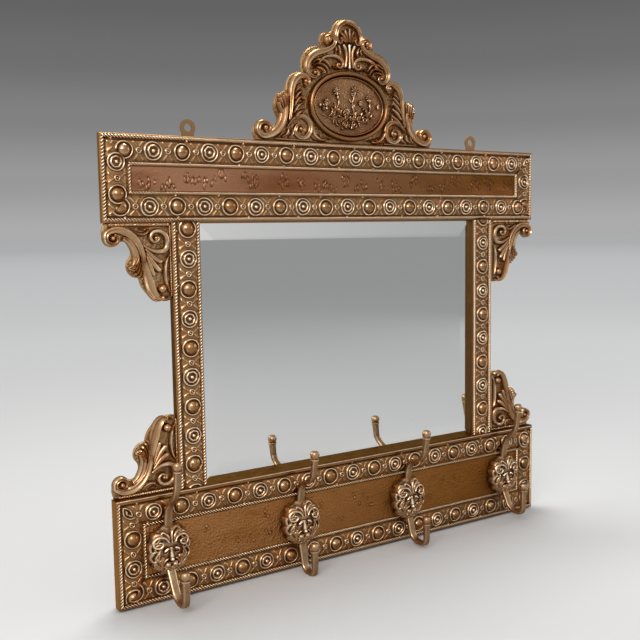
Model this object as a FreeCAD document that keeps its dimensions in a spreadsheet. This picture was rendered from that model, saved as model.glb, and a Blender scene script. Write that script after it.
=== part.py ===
import FreeCAD, Part
import math
import os
from FreeCAD import Placement, Rotation, Vector

# Hall mirror, in millimetres. X runs along the wall, Y into the wall, Z up.
# The origin is on the wall, midway between the holes of the two hanging eyes.

SIZES = {
    # Frame
    "frame_width": 572,
    "header_height": 85,
    "base_height": 111,
    "opening_height": 271,
    "board_depth": 11,
    "base_depth": 16,
    "sheet": 0.8,
    "board_inset": 4,
    "header_fold": 4.5,
    "stile_fold": 7,
    "base_fold": 9.5,
    # Pressed border strip, from its outer edge inwards
    "rim_rope": 4.3,
    "rim_groove": 1.2,
    "band_width": 19,
    "band_crown": 4.2,
    "inner_fillet": 2.5,
    "inner_rope": 4,
    "motif_pitch": 30,
    "dome_radius": 6.2,
    "dome_rise": 3,
    "rosette_radius": 8.6,
    "rosette_rise": 1.2,
    "rosette_top_radius": 4,
    "bead_radius": 2.2,
    "bead_rise": 1.4,
    # Mirror plate and its backboard
    "rebate_width": 8,
    "glass_depth": 4,
    "bevel_width": 24,
    "bevel_drop": 1.8,
    "back_depth": 3,
    "back_lap": 20,
    "seat_gap": 0.5,
    # Crest and medallion
    "crest_width": 240,
    "crest_height": 135,
    "crest_depth": 8,
    "crest_relief": 4,
    "crest_inset": 6,
    "volute_radius": 7,
    "shell_rib_radius": 3.2,
    "medallion_width": 104,
    "medallion_height": 76,
    "medallion_rise": 41,
    "medallion_rim": 7,
    "medallion_rim_depth": 5,
    "plaque_depth": 1.2,
    "plaque_crown": 1.6,
    # Corner brackets
    "bracket_width": 70,
    "bracket_height": 78,
    "bracket_depth": 8,
    "bracket_relief": 4,
    "bracket_inset": 4.5,
    # Hooks
    "hook_inset": 55,
    "mask_width": 42,
    "mask_gap": 0.5,
    "mask_mane_depth": 8,
    "mask_depth": 17,
    "strap_width": 8,
    "strap_depth": 5,
    "strap_gap": 0.4,
    "strap_root": 4,
    "prong_reach": 21,
    "prong_lean": 4,
    "prong_foot": 45,
    "prong_elbow": 60,
    "prong_tip": 86,
    "prong_bend": 12,
    "curl_reach": 26,
    "curl_drop": 52,
    "curl_tip": 23,
    "curl_bend": 8,
    "ball_radius": 5.2,
    "collar_radius": 4.8,
    "collar_depth": 2,
    "hook_screw_radius": 2,
    "hook_screw_head": 4,
    "hook_screw_bite": 8,
    "hook_screw_spacing": 18,
    # Hanging eyes
    "eye_shift": 5,
    "eye_rise": 10,
    "eye_radius": 8.2,
    "eye_hole_radius": 4,
    "eye_depth": 2,
    "eye_stem_width": 13,
    "eye_stem_drop": 32,
    "eye_screw_inset": 8,
    "eye_screw_spacing": 14,
    # Wood screws and dowels
    "screw_radius": 1.5,
    "screw_head_radius": 3,
    "screw_head_depth": 1.6,
    "screw_length": 8,
    "back_screw_inset": 14,
    "frame_dowel_radius": 3,
    "frame_dowel_length": 40,
    "frame_dowel_inset": 5,
    "frame_dowel_spacing": 10,
    "frame_dowel_cover": 7,
    "trim_dowel_radius": 2.5,
    "trim_dowel_length": 30,
    "trim_dowel_cover": 4,
    "crest_dowel_spacing": 120,
    "bracket_dowel_inset": 38,
    # Length by which a cutting shape overruns what it cuts
    "overrun": 2,
}

# Half outline of the crest: middle and end of each arc, as shares of half its width and of its height.
CREST_FOOT_SHARE = 0.975
CREST_ARC_SHARES = [
    ((1.0, 0.085), (0.9, 0.155)),
    ((0.845, 0.15), (0.805, 0.115)),
    ((0.76, 0.145), (0.765, 0.2)),
    ((0.79, 0.29), (0.735, 0.375)),
    ((0.69, 0.385), (0.66, 0.425)),
    ((0.61, 0.515), (0.495, 0.55)),
    ((0.475, 0.685), (0.285, 0.765)),
    ((0.295, 0.84), (0.225, 0.88)),
    ((0.185, 0.885), (0.165, 0.9)),
    ((0.115, 0.97), (0, 1)),
]
CREST_VOLUTE_SHARES = [(0.9, 0.085), (0.22, 0.82), (0.66, 0.36), (0.47, 0.62)]
SHELL_ROOT_SHARE = 0.77
SHELL_RIB_ANGLES = (-44, -22, 0, 22, 44)

# Outline of a corner bracket, from the corner where stile and rail meet, as shares of its width and height.
BRACKET_FOOT_SHARE = 0.96
BRACKET_ARC_SHARES = [
    ((1.0, 0.155), (0.86, 0.285)),
    ((0.75, 0.235), (0.66, 0.24)),
    ((0.6, 0.34), (0.655, 0.47)),
    ((0.655, 0.61), (0.5, 0.69)),
    ((0.415, 0.86), (0.2, 0.985)),
    ((0.1, 1.0), (0, 0.975)),
]
BRACKET_VOLUTE_SHARES = [(0.84, 0.15), (0.22, 0.2), (0.14, 0.84)]

# Sections of the lion mask: share of its depth, share of its outline, shift down as a share of its height.
MASK_SECTION_SHARES = [
    ("mask_mane_depth", 0, 1.0, 0),
    ("mask_mane_depth", 1, 0.93, 0),
    ("mask_depth", 0.6, 0.66, 0),
    ("mask_depth", 0.82, 0.46, 0.04),
    ("mask_depth", 1, 0.2, 0.12),
]
MANE_LOBES = 14
MANE_LOBE_SHARE = 0.09

# Place of each hook, left to right, as a share of the way from the middle to the outermost place.
HOOK_PLACE_SHARES = (-1.013, -0.335, 0.316, 0.992)

# Bends of each hook: shares of the prong's foot, elbow, tip and reach, of the curl's drop, tip and reach,
# and the share of the curl's reach that its back limb leans out.
HOOK_BEND_SHARES = [
    (1.0, 1.0, 0.98, 1.15, 0.93, 0.97, 1.35, 0.42),
    (0.92, 0.82, 0.84, 1.23, 1.09, 1.3, 0.87, 0.15),
    (0.92, 0.84, 0.87, 1.42, 1.0, 1.2, 1.14, 0.2),
    (1.0, 1.0, 0.99, 1.0, 0.85, 0.64, 1.18, 0.32),
]

# Each border row: shift of its middle motif as a share of the pitch, whether that is a dome, pitch share.
ROW_SHARES = {
    "header_top_border": (-0.24, False, 1),
    "header_bottom_border": (-0.15, False, 0.976),
    "header_left_border": (-0.5, False, 1),
    "header_right_border": (0.16, False, 1),
    "base_top_border": (0.168, False, 1.012),
    "base_bottom_border": (0, False, 1),
    "base_left_border": (-0.5, True, 1),
    "base_right_border": (0.22, True, 1),
    "left_stile_border": (-0.29, True, 1),
    "right_stile_border": (-0.42, False, 1),
}

HEADER_TOP = "(-Sizes.eye_rise)"
HEADER_BOTTOM = f"({HEADER_TOP} - Sizes.header_height)"
BASE_TOP = f"({HEADER_BOTTOM} - Sizes.opening_height)"
BASE_BOTTOM = f"({BASE_TOP} - Sizes.base_height)"
HALF_FRAME = "Sizes.frame_width / 2"
STRIP_WIDTH = "(Sizes.rim_rope + Sizes.rim_groove + Sizes.band_width + Sizes.inner_fillet + Sizes.inner_rope)"
STILE_EDGE = f"({HALF_FRAME} - Sizes.bracket_width)"
HALF_OPENING = f"({STILE_EDGE} - {STRIP_WIDTH})"
OPENING_WIDTH = f"(2 * {HALF_OPENING})"
EYE_ACROSS = f"({HALF_OPENING} + Sizes.eye_shift)"
HOOK_ACROSS = f"({HALF_FRAME} - Sizes.hook_inset)"
REBATE_DEPTH = "(Sizes.back_depth + Sizes.glass_depth)"
PANEL_FRONT = "(Sizes.base_depth + Sizes.sheet)"
MASK_HEIGHT = f"(Sizes.base_height - 2 * {STRIP_WIDTH} - 2 * Sizes.mask_gap)"
STRAP_STAND = "(Sizes.band_crown + Sizes.dome_rise + Sizes.strap_gap + Sizes.strap_depth / 2)"

OUT = Vector(0, -1, 0)
UP = Vector(0, 0, 1)
RIGHT = Vector(1, 0, 0)

doc = FreeCAD.newDocument("HallMirror")
sheet = doc.addObject("Spreadsheet::Sheet", "Sizes")
for row, (alias, number) in enumerate(SIZES.items(), start=1):
    sheet.set(f"A{row}", alias)
    sheet.set(f"B{row}", str(number))
    sheet.setAlias(f"B{row}", alias)
doc.recompute()

subparts = []


def value(formula):
    """Number that a formula on the sheet's cells gives."""
    return float(sheet.evalExpression(formula))


def size(alias):
    """Number in one cell of the sheet."""
    return value(f"Sizes.{alias}")


def named(item, label):
    """Give a finished piece its label and list it for export."""
    item.Label = label
    subparts.append(item)
    return item


def bind(item, properties, formulas):
    """Bind properties of an object to formulas on the sheet's cells."""
    for name, formula in zip(properties, formulas):
        item.setExpression(name, formula)


def box(name, corner, extent):
    """Block with its lowest corner and its extent along X, Y and Z given as formulas."""
    item = doc.addObject("Part::Box", name)
    bind(item, ("Length", "Width", "Height"), extent)
    bind(item, ("Placement.Base.x", "Placement.Base.y", "Placement.Base.z"), corner)
    return item


def rod(name, radius, length, start, direction):
    """Cylinder from a start point along a direction, with sizes and place given as formulas."""
    item = doc.addObject("Part::Cylinder", name)
    item.Placement = Placement(Vector(), Rotation(UP, direction))
    bind(item, ("Radius", "Height"), (radius, length))
    bind(item, ("Placement.Base.x", "Placement.Base.y", "Placement.Base.z"), start)
    return item


def screw(name, place, head_radius, head_depth, radius, length):
    """Countersunk screw let in flush with the wall face, its shank pointing out from the wall."""
    head = doc.addObject("Part::Cone", f"{name}_head")
    head.Placement = Placement(Vector(), Rotation(UP, OUT))
    bind(head, ("Radius1", "Radius2", "Height"), (head_radius, radius, head_depth))
    bind(head, ("Placement.Base.x", "Placement.Base.z"), place)
    shank = rod(f"{name}_shank", radius, length, (place[0], "0", place[1]), OUT)
    whole = doc.addObject("Part::MultiFuse", name)
    whole.Shapes = [head, shank]
    return whole


def group(label, members):
    """Identical fasteners as one node of separate solids."""
    item = doc.addObject("Part::Compound", label)
    item.Links = members
    return named(item, label)


def cut(blank, tools):
    """Blank less each tool in turn."""
    for tool in tools:
        result = doc.addObject("Part::Cut", f"{blank.Name}_cut")
        result.Base = blank
        result.Tool = tool
        blank = result
    return blank


def formed(label, shape, placement, tools=()):
    """Piece whose shape is worked out from the sheet's sizes, less each tool."""
    blank = doc.addObject("Part::Feature", f"{label}_form")
    blank.Shape = shape
    blank.Placement = placement
    return named(cut(blank, tools), label)


def spot(across, out, up):
    """Point at a distance along the wall, out from the wall and up."""
    return Vector(across, -out, up)


# Fasteners and dowels

def back_screws():
    """Wood screws of the mirror backboard, along the header, the base rail and both stiles."""
    inset = "Sizes.back_screw_inset"
    middle = f"({HEADER_BOTTOM} - Sizes.opening_height / 2)"
    places = []
    for step in (-1, 0, 1):
        across = f"{step} * {OPENING_WIDTH} / 3"
        places.append((across, f"{HEADER_BOTTOM} + {inset}"))
        places.append((across, f"{BASE_TOP} - {inset}"))
    for side in (-1, 1):
        for step in (-1, 1):
            up = f"{middle} + {step} * Sizes.opening_height / 4"
            places.append((f"{side} * ({HALF_OPENING} + {inset})", up))
    return [wood_screw(f"back_screw_{number}", place) for number, place in enumerate(places)]


def wood_screw(name, place):
    """Small countersunk wood screw at a place on the wall face."""
    return screw(name, place, "Sizes.screw_head_radius", "Sizes.screw_head_depth",
                 "Sizes.screw_radius", "Sizes.screw_length")


def eye_screws():
    """Two wood screws in the stem of each hanging eye."""
    items = []
    for side in (-1, 1):
        for step in (0, 1):
            up = f"{HEADER_TOP} - Sizes.eye_screw_inset - {step} * Sizes.eye_screw_spacing"
            items.append(wood_screw(f"eye_screw_{len(items)}", (f"{side} * {EYE_ACROSS}", up)))
    return items


def hook_places():
    """Distance of each hook from the middle of the base rail, as formulas, left to right."""
    return [f"{share} * {HOOK_ACROSS}" for share in HOOK_PLACE_SHARES]


def hook_screws():
    """Two machine screws from behind the base rail into each hook."""
    length = f"{PANEL_FRONT} + Sizes.hook_screw_bite"
    items = []
    for across in hook_places():
        for step in (-1, 1):
            up = f"{BASE_TOP} - Sizes.base_height / 2 + {step} * Sizes.hook_screw_spacing / 2"
            items.append(screw(f"hook_screw_{len(items)}", (across, up), "Sizes.hook_screw_head",
                               "Sizes.hook_screw_radius", "Sizes.hook_screw_radius", length))
    return items


def upright_dowel(name, prefix, across, joint):
    """Dowel standing across a level joint, half its length on each side."""
    return rod(name, f"Sizes.{prefix}_radius", f"Sizes.{prefix}_length",
               (across, f"-Sizes.{prefix}_cover", f"{joint} - Sizes.{prefix}_length / 2"), UP)


def frame_dowels():
    """Two dowels in each joint of a stile with the header and the base rail."""
    items = []
    for side in (-1, 1):
        for joint in (HEADER_BOTTOM, BASE_TOP):
            for step in (0, 1):
                inset = f"(Sizes.frame_dowel_inset + {step} * Sizes.frame_dowel_spacing)"
                across = f"{side} * ({STILE_EDGE} - Sizes.board_inset - {inset})"
                items.append(upright_dowel(f"frame_dowel_{len(items)}", "frame_dowel", across, joint))
    return items


def trim_dowels():
    """Two dowels under the crest and one in each bracket."""
    items = []
    for side in (-1, 1):
        across = f"{side} * Sizes.crest_dowel_spacing / 2"
        items.append(upright_dowel(f"trim_dowel_{len(items)}", "trim_dowel", across, HEADER_TOP))
        for joint in (HEADER_BOTTOM, BASE_TOP):
            across = f"{side} * ({STILE_EDGE} + Sizes.bracket_dowel_inset)"
            items.append(upright_dowel(f"trim_dowel_{len(items)}", "trim_dowel", across, joint))
    return items


# Hanging eyes

def hanging_eye(label, side):
    """Flat plate with a stem let into the header's back and an eye above it."""
    body = doc.addObject("PartDesign::Body", label)
    plane = next(item for item in body.Origin.OriginFeatures if item.Role == "XZ_Plane")
    sketch = body.newObject("Sketcher::SketchObject", f"{label}_outline")
    sketch.AttachmentSupport = [(plane, "")]
    sketch.MapMode = "FlatFace"
    half = size("eye_stem_width") / 2
    radius = size("eye_radius")
    foot = value(f"{HEADER_TOP} - Sizes.eye_stem_drop")
    tangent = -math.sqrt(radius ** 2 - half ** 2)
    lean = math.atan2(tangent, half)
    ring = Part.Circle(Vector(), UP, radius)
    sketch.addGeometry(Part.ArcOfCircle(ring, lean, math.pi - lean), False)
    corners = [Vector(-half, tangent, 0), Vector(-half, foot, 0),
               Vector(half, foot, 0), Vector(half, tangent, 0)]
    for start, end in zip(corners, corners[1:]):
        sketch.addGeometry(Part.LineSegment(start, end), False)
    sketch.addGeometry(Part.Circle(Vector(), UP, size("eye_hole_radius")), False)
    pad = body.newObject("PartDesign::Pad", f"{label}_pad")
    pad.Profile = sketch
    bind(pad, ("Length",), ("Sizes.eye_depth",))
    body.setExpression("Placement.Base.x", f"{side} * {EYE_ACROSS}")
    doc.recompute()
    return body


# Wood frame, plate and panels

def rebate_tools(name):
    """Blocks that cut the stepped rebate of the plate and its backboard into the boards round the opening."""
    tools = []
    for step, lap, depth in (("glass", "Sizes.rebate_width", REBATE_DEPTH),
                             ("back", "Sizes.back_lap", "Sizes.back_depth")):
        corner = (f"-{HALF_OPENING} - {lap}", f"-{depth}", f"{BASE_TOP} - {lap}")
        extent = (f"{OPENING_WIDTH} + 2 * {lap}", f"{depth} + Sizes.overrun",
                  f"Sizes.opening_height + 2 * {lap}")
        tools.append(box(f"{name}_{step}_rebate", corner, extent))
    return tools


def board(label, corner, extent, tools):
    """Wood board cut by the rebate and by every piece that enters it."""
    return named(cut(box(f"{label}_blank", corner, extent), rebate_tools(label) + tools), label)


def wood_frame(tools):
    """Header, base rail and two stiles, set in at their outer edges behind the folded strips."""
    width = "Sizes.frame_width - 2 * Sizes.board_inset"
    left = f"-{HALF_FRAME} + Sizes.board_inset"
    board("header_board", (left, "-Sizes.board_depth", HEADER_BOTTOM),
          (width, "Sizes.board_depth", "Sizes.header_height - Sizes.sheet"), tools)
    board("base_board", (left, "-Sizes.base_depth", f"{BASE_BOTTOM} + Sizes.sheet"),
          (width, "Sizes.base_depth", "Sizes.base_height - Sizes.sheet"), tools)
    stile = (f"{STRIP_WIDTH} - Sizes.board_inset", "Sizes.board_depth", "Sizes.opening_height")
    edge = f"-{STILE_EDGE} + Sizes.board_inset"
    board("left_stile_board", (edge, "-Sizes.board_depth", BASE_TOP), stile, tools)
    board("right_stile_board", (HALF_OPENING, "-Sizes.board_depth", BASE_TOP), stile, tools)


def mirror_plate():
    """Glass plate with a wide flat bevel round its front."""
    body = doc.addObject("PartDesign::Body", "mirror_plate")
    plane = next(item for item in body.Origin.OriginFeatures if item.Role == "XZ_Plane")
    sketch = body.newObject("Sketcher::SketchObject", "plate_outline")
    sketch.AttachmentSupport = [(plane, "")]
    sketch.MapMode = "FlatFace"
    half_width = value(f"{HALF_OPENING} + Sizes.rebate_width - Sizes.seat_gap")
    top = value(f"{HEADER_BOTTOM} + Sizes.rebate_width - Sizes.seat_gap")
    bottom = value(f"{BASE_TOP} - Sizes.rebate_width + Sizes.seat_gap")
    corners = [Vector(-half_width, bottom, 0), Vector(half_width, bottom, 0),
               Vector(half_width, top, 0), Vector(-half_width, top, 0)]
    for start, end in zip(corners, corners[1:] + corners[:1]):
        sketch.addGeometry(Part.LineSegment(start, end), False)
    pad = body.newObject("PartDesign::Pad", "plate_pad")
    pad.Profile = sketch
    bind(pad, ("Length",), ("Sizes.glass_depth",))
    body.setExpression("Placement.Base.y", "-Sizes.back_depth")
    doc.recompute()
    bevel = body.newObject("PartDesign::Chamfer", "plate_bevel")
    faces = enumerate(pad.Shape.Faces, start=1)
    front = min(faces, key=lambda entry: entry[1].CenterOfMass.y)[0]
    bevel.Base = (pad, [f"Face{front}"])
    bevel.ChamferType = "Two distances"
    bind(bevel, ("Size", "Size2"), ("Sizes.bevel_drop", "Sizes.bevel_width"))
    doc.recompute()
    named(body, "mirror_plate")


def mirror_backboard(tools):
    """Thin board behind the plate, let in flush with the wall face."""
    lap = "(Sizes.back_lap - Sizes.seat_gap)"
    blank = box("backboard_blank", (f"-{HALF_OPENING} - {lap}", "-Sizes.back_depth", f"{BASE_TOP} - {lap}"),
                (f"{OPENING_WIDTH} + 2 * {lap}", "Sizes.back_depth", f"Sizes.opening_height + 2 * {lap}"))
    named(cut(blank, tools), "mirror_backboard")


def panel(label, front, bottom, height, tools):
    """Sheet panel laid on a board between its four border strips."""
    corner = (f"-{HALF_FRAME} + {STRIP_WIDTH}", f"-{front} - Sizes.sheet", f"{bottom} + {STRIP_WIDTH}")
    extent = (f"Sizes.frame_width - 2 * {STRIP_WIDTH}", "Sizes.sheet", f"{height} - 2 * {STRIP_WIDTH}")
    named(cut(box(f"{label}_blank", corner, extent), tools), label)


# Pressed border strips: X along the strip, Y inwards from its outer edge, Z out from the board.

def arc_edge(start, middle, end):
    """Arc through three points."""
    return Part.Arc(start, middle, end).toShape()


def strip_profile(start, fold):
    """Section of a strip: folded edge, rim rope, crowned band, fillet and inner rope."""
    level = size("sheet")
    rope = size("rim_rope")
    inner_rope = size("inner_rope")
    width = value(STRIP_WIDTH)
    band_start = value("Sizes.rim_rope + Sizes.rim_groove")
    band_end = band_start + size("band_width")
    inwards = (0, rope, band_start, band_end, width - inner_rope, width)
    stops = [Vector(start, inward, level) for inward in inwards]
    crests = {0: rope / 2, 2: size("band_crown"), 4: inner_rope / 2}
    edges = []
    for index, (here, there) in enumerate(zip(stops, stops[1:])):
        if index in crests:
            edges.append(arc_edge(here, (here + there) / 2 + UP * crests[index], there))
        else:
            edges.append(Part.makeLine(here, there))
    under = [stops[-1], Vector(start, width, 0)]
    if fold:
        under += [Vector(start, level, 0), Vector(start, level, -fold), Vector(start, 0, -fold)]
    else:
        under += [Vector(start, 0, 0)]
    under.append(stops[0])
    edges += [Part.makeLine(here, there) for here, there in zip(under, under[1:])]
    return Part.Face(Part.Wire(edges))


def dome(along):
    """Round boss that stands on the crown of the band."""
    crown = value("Sizes.sheet + Sizes.band_crown")
    radius = size("dome_radius")
    base = Vector(along, motif_line(), crown + size("dome_rise") - radius)
    return Part.makeSphere(radius, base, UP, 0, 90, 360)


def rosette(along):
    """Low coned boss with a bead at its middle."""
    top = value("Sizes.sheet + Sizes.band_crown + Sizes.rosette_rise")
    level = size("sheet")
    foot = Vector(along, motif_line(), level)
    cone = Part.makeCone(size("rosette_radius"), size("rosette_top_radius"), top - level, foot, UP)
    bead = Part.makeCone(size("bead_radius"), size("bead_radius") / 2, size("bead_rise"),
                         Vector(along, motif_line(), top), UP)
    return cone.fuse(bead)


def motif_line():
    """Distance of the row of motifs from the strip's outer edge."""
    return value("Sizes.rim_rope + Sizes.rim_groove + Sizes.band_width / 2")


def mitre_tool(length, fold):
    """Prism that cuts a strip's right end along the diagonal of its corner."""
    over = size("overrun")
    width = value(STRIP_WIDTH)
    half = length / 2
    height = value("Sizes.sheet + Sizes.band_crown + Sizes.dome_rise + Sizes.bead_rise")
    points = [Vector(half, 0, 0), Vector(half + over, -over, 0), Vector(half + width, width + over, 0),
              Vector(half - width - over, width + over, 0)]
    face = Part.Face(Part.makePolygon(points + points[:1]))
    face.translate(UP * -(fold + over))
    return face.extrude(UP * (fold + height + 2 * over))


def fold_end(length, fold, end_fold):
    """Block that takes the back of a strip's fold away at its right end, as far as the next strip's fold."""
    over = size("overrun")
    inset = size("board_inset")
    corner = Vector(length / 2 - inset, -over, -fold - over)
    return Part.makeBox(inset + over, size("sheet") + 2 * over, fold - end_fold + over, corner)


def strip_shape(label, length, fold, mitred, end_fold):
    """Pressed strip with its row of domes and rosettes, cut square or mitred at both ends."""
    half = length / 2
    shift_share, dome_first, pitch_share = ROW_SHARES[label]
    pitch = pitch_share * size("motif_pitch")
    solid = strip_profile(-half, fold).extrude(RIGHT * length)
    reach = int(half / pitch) + 1
    motifs = []
    for step in range(-reach, reach + 1):
        along = (step + shift_share) * pitch
        if abs(along) < half:
            is_dome = (step % 2 == 0) == dome_first
            motifs.append(dome(along) if is_dome else rosette(along))
    solid = solid.fuse(motifs)
    if mitred:
        tools = [mitre_tool(length, fold)]
        if end_fold < fold:
            tools.append(fold_end(length, fold, end_fold))
        solid = solid.cut(tools + [tool.mirror(Vector(), RIGHT) for tool in tools])
    else:
        height = value("Sizes.sheet + Sizes.band_crown + Sizes.dome_rise + Sizes.bead_rise")
        keep = Part.makeBox(length, value(STRIP_WIDTH), fold + height, Vector(-half, 0, -fold))
        solid = solid.common(keep)
    return solid.removeSplitter().Solids[0]


def strip(label, along, inward, length, middle, front, fold, end_fold, mitred=True, tools=()):
    """Border strip laid on a board, with the middle of its outer edge at a point of the board's front."""
    place = Placement(spot(middle[0], front, middle[1]), Rotation(along, inward, OUT, "XYZ"))
    return formed(label, strip_shape(label, length, fold, mitred, end_fold), place, tools)


def border(prefix, bottom, top, front, folds, tools):
    """Four mitred strips round a rail, the top one cut by the pieces that pass its folded edge."""
    half = value(HALF_FRAME)
    width = size("frame_width")
    height = top - bottom
    level = (top + bottom) / 2
    top_fold, bottom_fold, end_fold = folds
    strip(f"{prefix}_top_border", -RIGHT, -UP, width, (0, top), front, top_fold, end_fold, tools=tools)
    strip(f"{prefix}_bottom_border", RIGHT, UP, width, (0, bottom), front, bottom_fold, end_fold)
    strip(f"{prefix}_left_border", -UP, RIGHT, height, (-half, level), front, end_fold, end_fold)
    strip(f"{prefix}_right_border", UP, -RIGHT, height, (half, level), front, end_fold, end_fold)


def stile_borders():
    """One square-ended strip on each stile."""
    edge = value(STILE_EDGE)
    depth = size("board_depth")
    fold = size("stile_fold")
    length = size("opening_height")
    level = value(f"{BASE_TOP} + Sizes.opening_height / 2")
    strip("left_stile_border", -UP, RIGHT, length, (-edge, level), depth, fold, fold, mitred=False)
    strip("right_stile_border", UP, -RIGHT, length, (edge, level), depth, fold, fold, mitred=False)


# Crest, medallion and brackets

def outline_points(foot_share, arc_shares, width, height):
    """Foot of an outline and the middle and end of each of its arcs, from shares of its width and height."""
    foot = spot(foot_share * width, 0, 0)
    arcs = [(spot(middle[0] * width, 0, middle[1] * height), spot(end[0] * width, 0, end[1] * height))
            for middle, end in arc_shares]
    return foot, arcs


def arc_chain(start, arcs):
    """Edges of arcs that follow one another from a start point."""
    edges = []
    for middle, end in arcs:
        edges.append(arc_edge(start, middle, end))
        start = end
    return edges


def crest_edges():
    """Arcs of the crest's outline, from one foot over the top to the other."""
    foot, arcs = outline_points(CREST_FOOT_SHARE, CREST_ARC_SHARES,
                                size("crest_width") / 2, size("crest_height"))
    half = Part.Wire(arc_chain(foot, arcs))
    return foot, half.Edges + half.mirror(Vector(), RIGHT).Edges


def bracket_edges():
    """Ends and arcs of a bracket's free edge, in the corner of a rail and a stile."""
    foot, arcs = outline_points(BRACKET_FOOT_SHARE, BRACKET_ARC_SHARES,
                                size("bracket_width"), size("bracket_height"))
    return foot, arcs[-1][1], arc_chain(foot, arcs)


def closed_face(edges, corners):
    """Flat face inside a run of edges that straight lines between corners close."""
    lines = [Part.makeLine(here, there) for here, there in zip(corners, corners[1:])]
    return Part.Face(Part.Wire(Part.__sortEdges__(edges + lines)))


def crest_face():
    """Outline of the crest standing on the header."""
    foot, edges = crest_edges()
    return closed_face(edges, [foot, Vector(-foot.x, 0, 0)])


def crest_core():
    """Outline of the crest's board: the crest's own, drawn in by the inset except where it stands."""
    inset = size("crest_inset")
    foot, edges = crest_edges()
    corners = [foot, foot - UP * inset, Vector(-foot.x, 0, -inset), Vector(-foot.x, 0, 0)]
    return closed_face(edges, corners).makeOffset2D(-inset)


def bracket_face():
    """Outline of a bracket in the corner of a rail and a stile."""
    foot, tip, edges = bracket_edges()
    return closed_face(edges, [tip, Vector(), foot])


def bracket_core():
    """Outline of a bracket's board: the bracket's own, drawn in by the inset at its free edge."""
    inset = size("bracket_inset")
    foot, tip, edges = bracket_edges()
    corners = [tip, tip - RIGHT * inset, spot(-inset, 0, -inset), foot - UP * inset, foot]
    return closed_face(edges, corners).makeOffset2D(-inset)


def boss(centre):
    """Half-round boss at the eye of a scroll."""
    return Part.makeSphere(size("volute_radius"), centre, OUT, 0, 90, 360)


def crest_skin_shape():
    """Pressed crest: outline in relief, scroll eyes and a ribbed shell at the top."""
    relief = size("crest_relief")
    half_width = size("crest_width") / 2
    height = size("crest_height")
    skin = crest_face().extrude(OUT * relief)
    raised = []
    for across_share, up_share in CREST_VOLUTE_SHARES:
        for side in (-1, 1):
            raised.append(boss(spot(side * across_share * half_width, 0, up_share * height)))
    root = spot(0, relief, SHELL_ROOT_SHARE * height)
    rib = size("shell_rib_radius")
    for angle in SHELL_RIB_ANGLES:
        lean = math.radians(angle)
        aim = Vector(math.sin(lean), 0, math.cos(lean))
        raised.append(Part.makeCone(rib / 2, rib, (1 - SHELL_ROOT_SHARE) * height - rib * 2, root, aim))
    return skin.fuse(raised).removeSplitter().Solids[0]


def crest(tools):
    """Crest board on the header and the pressed skin on its front."""
    level = value(HEADER_TOP)
    depth = size("crest_depth")
    core = crest_core().extrude(OUT * depth)
    formed("crest_board", core, Placement(spot(0, 0, level), Rotation()), tools)
    formed("crest_skin", crest_skin_shape(), Placement(spot(0, depth, level), Rotation()))


def oval(width, height, out):
    """Closed oval edge at a distance out from the plane that it stands on."""
    curve = Part.Ellipse(Vector(), width / 2, height / 2)
    edge = Part.Wire(curve.toShape())
    edge.Placement = Placement(spot(0, out, 0), Rotation(RIGHT, 90))
    return edge


def medallion():
    """Crowned oval plaque held by a bevelled oval rim."""
    width = size("medallion_width")
    height = size("medallion_height")
    rim = 2 * size("medallion_rim")
    depth = size("medallion_rim_depth")
    slope = rim / 4
    front = value("Sizes.crest_depth + Sizes.crest_relief")
    place = Placement(spot(0, front, value(f"{HEADER_TOP} + Sizes.medallion_rise")), Rotation())
    outer = Part.makeLoft([oval(width, height, 0), oval(width - slope, height - slope, depth)], True, True)
    hollow = [oval(width - rim, height - rim, level) for level in (0, depth)]
    formed("medallion_rim", outer.cut(Part.makeLoft(hollow, True, True)), place)
    edge = size("plaque_depth")
    crown = edge + size("plaque_crown")
    sections = [oval(width - rim, height - rim, 0), oval(width - rim, height - rim, edge),
                oval((width - rim) / 2, (height - rim) / 2, crown)]
    formed("medallion_plaque", Part.makeLoft(sections, True, True), place)


def bracket_skin_shape():
    """Pressed bracket: outline in relief with its scroll eyes."""
    width = size("bracket_width")
    height = size("bracket_height")
    skin = bracket_face().extrude(OUT * size("bracket_relief"))
    raised = [boss(spot(across * width, 0, up * height)) for across, up in BRACKET_VOLUTE_SHARES]
    return skin.fuse(raised).removeSplitter().Solids[0]


def flipped(shape, side, up):
    """Shape turned over to the left where the side is below zero, and upside down where up is below zero."""
    if side < 0:
        shape = shape.mirror(Vector(), RIGHT)
    if up < 0:
        shape = shape.mirror(Vector(), UP)
    return shape


def brackets(tools):
    """Four brackets in the corners of the stiles with the header and the base rail."""
    depth = size("bracket_depth")
    core = bracket_core().extrude(OUT * depth)
    skin = bracket_skin_shape()
    edge = value(STILE_EDGE)
    for row, level, up in (("upper", value(HEADER_BOTTOM), -1), ("lower", value(BASE_TOP), 1)):
        for hand, side in (("left", -1), ("right", 1)):
            prefix = f"{row}_{hand}_bracket"
            board_shape, skin_shape = (flipped(shape, side, up) for shape in (core, skin))
            formed(f"{prefix}_board", board_shape, Placement(spot(side * edge, 0, level), Rotation()), tools)
            formed(f"{prefix}_skin", skin_shape, Placement(spot(side * edge, depth, level), Rotation()))


# Cast hooks: the middle of the mask on the panel is the origin.

def rounded_path(points, bend):
    """Wire along straight runs whose corners are rounded by arcs that touch both runs."""
    edges = []
    start = points[0]
    for before, corner, after in zip(points, points[1:], points[2:]):
        back = (before - corner).normalize()
        ahead = (after - corner).normalize()
        half_angle = back.getAngle(ahead) / 2
        reach = bend / math.tan(half_angle)
        middle = (back + ahead).normalize() * (bend / math.sin(half_angle) - bend)
        enter = corner + back * reach
        leave = corner + ahead * reach
        edges.append(Part.makeLine(start, enter))
        edges.append(arc_edge(enter, corner + middle, leave))
        start = leave
    edges.append(Part.makeLine(start, points[-1]))
    return Part.Wire(edges)


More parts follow.
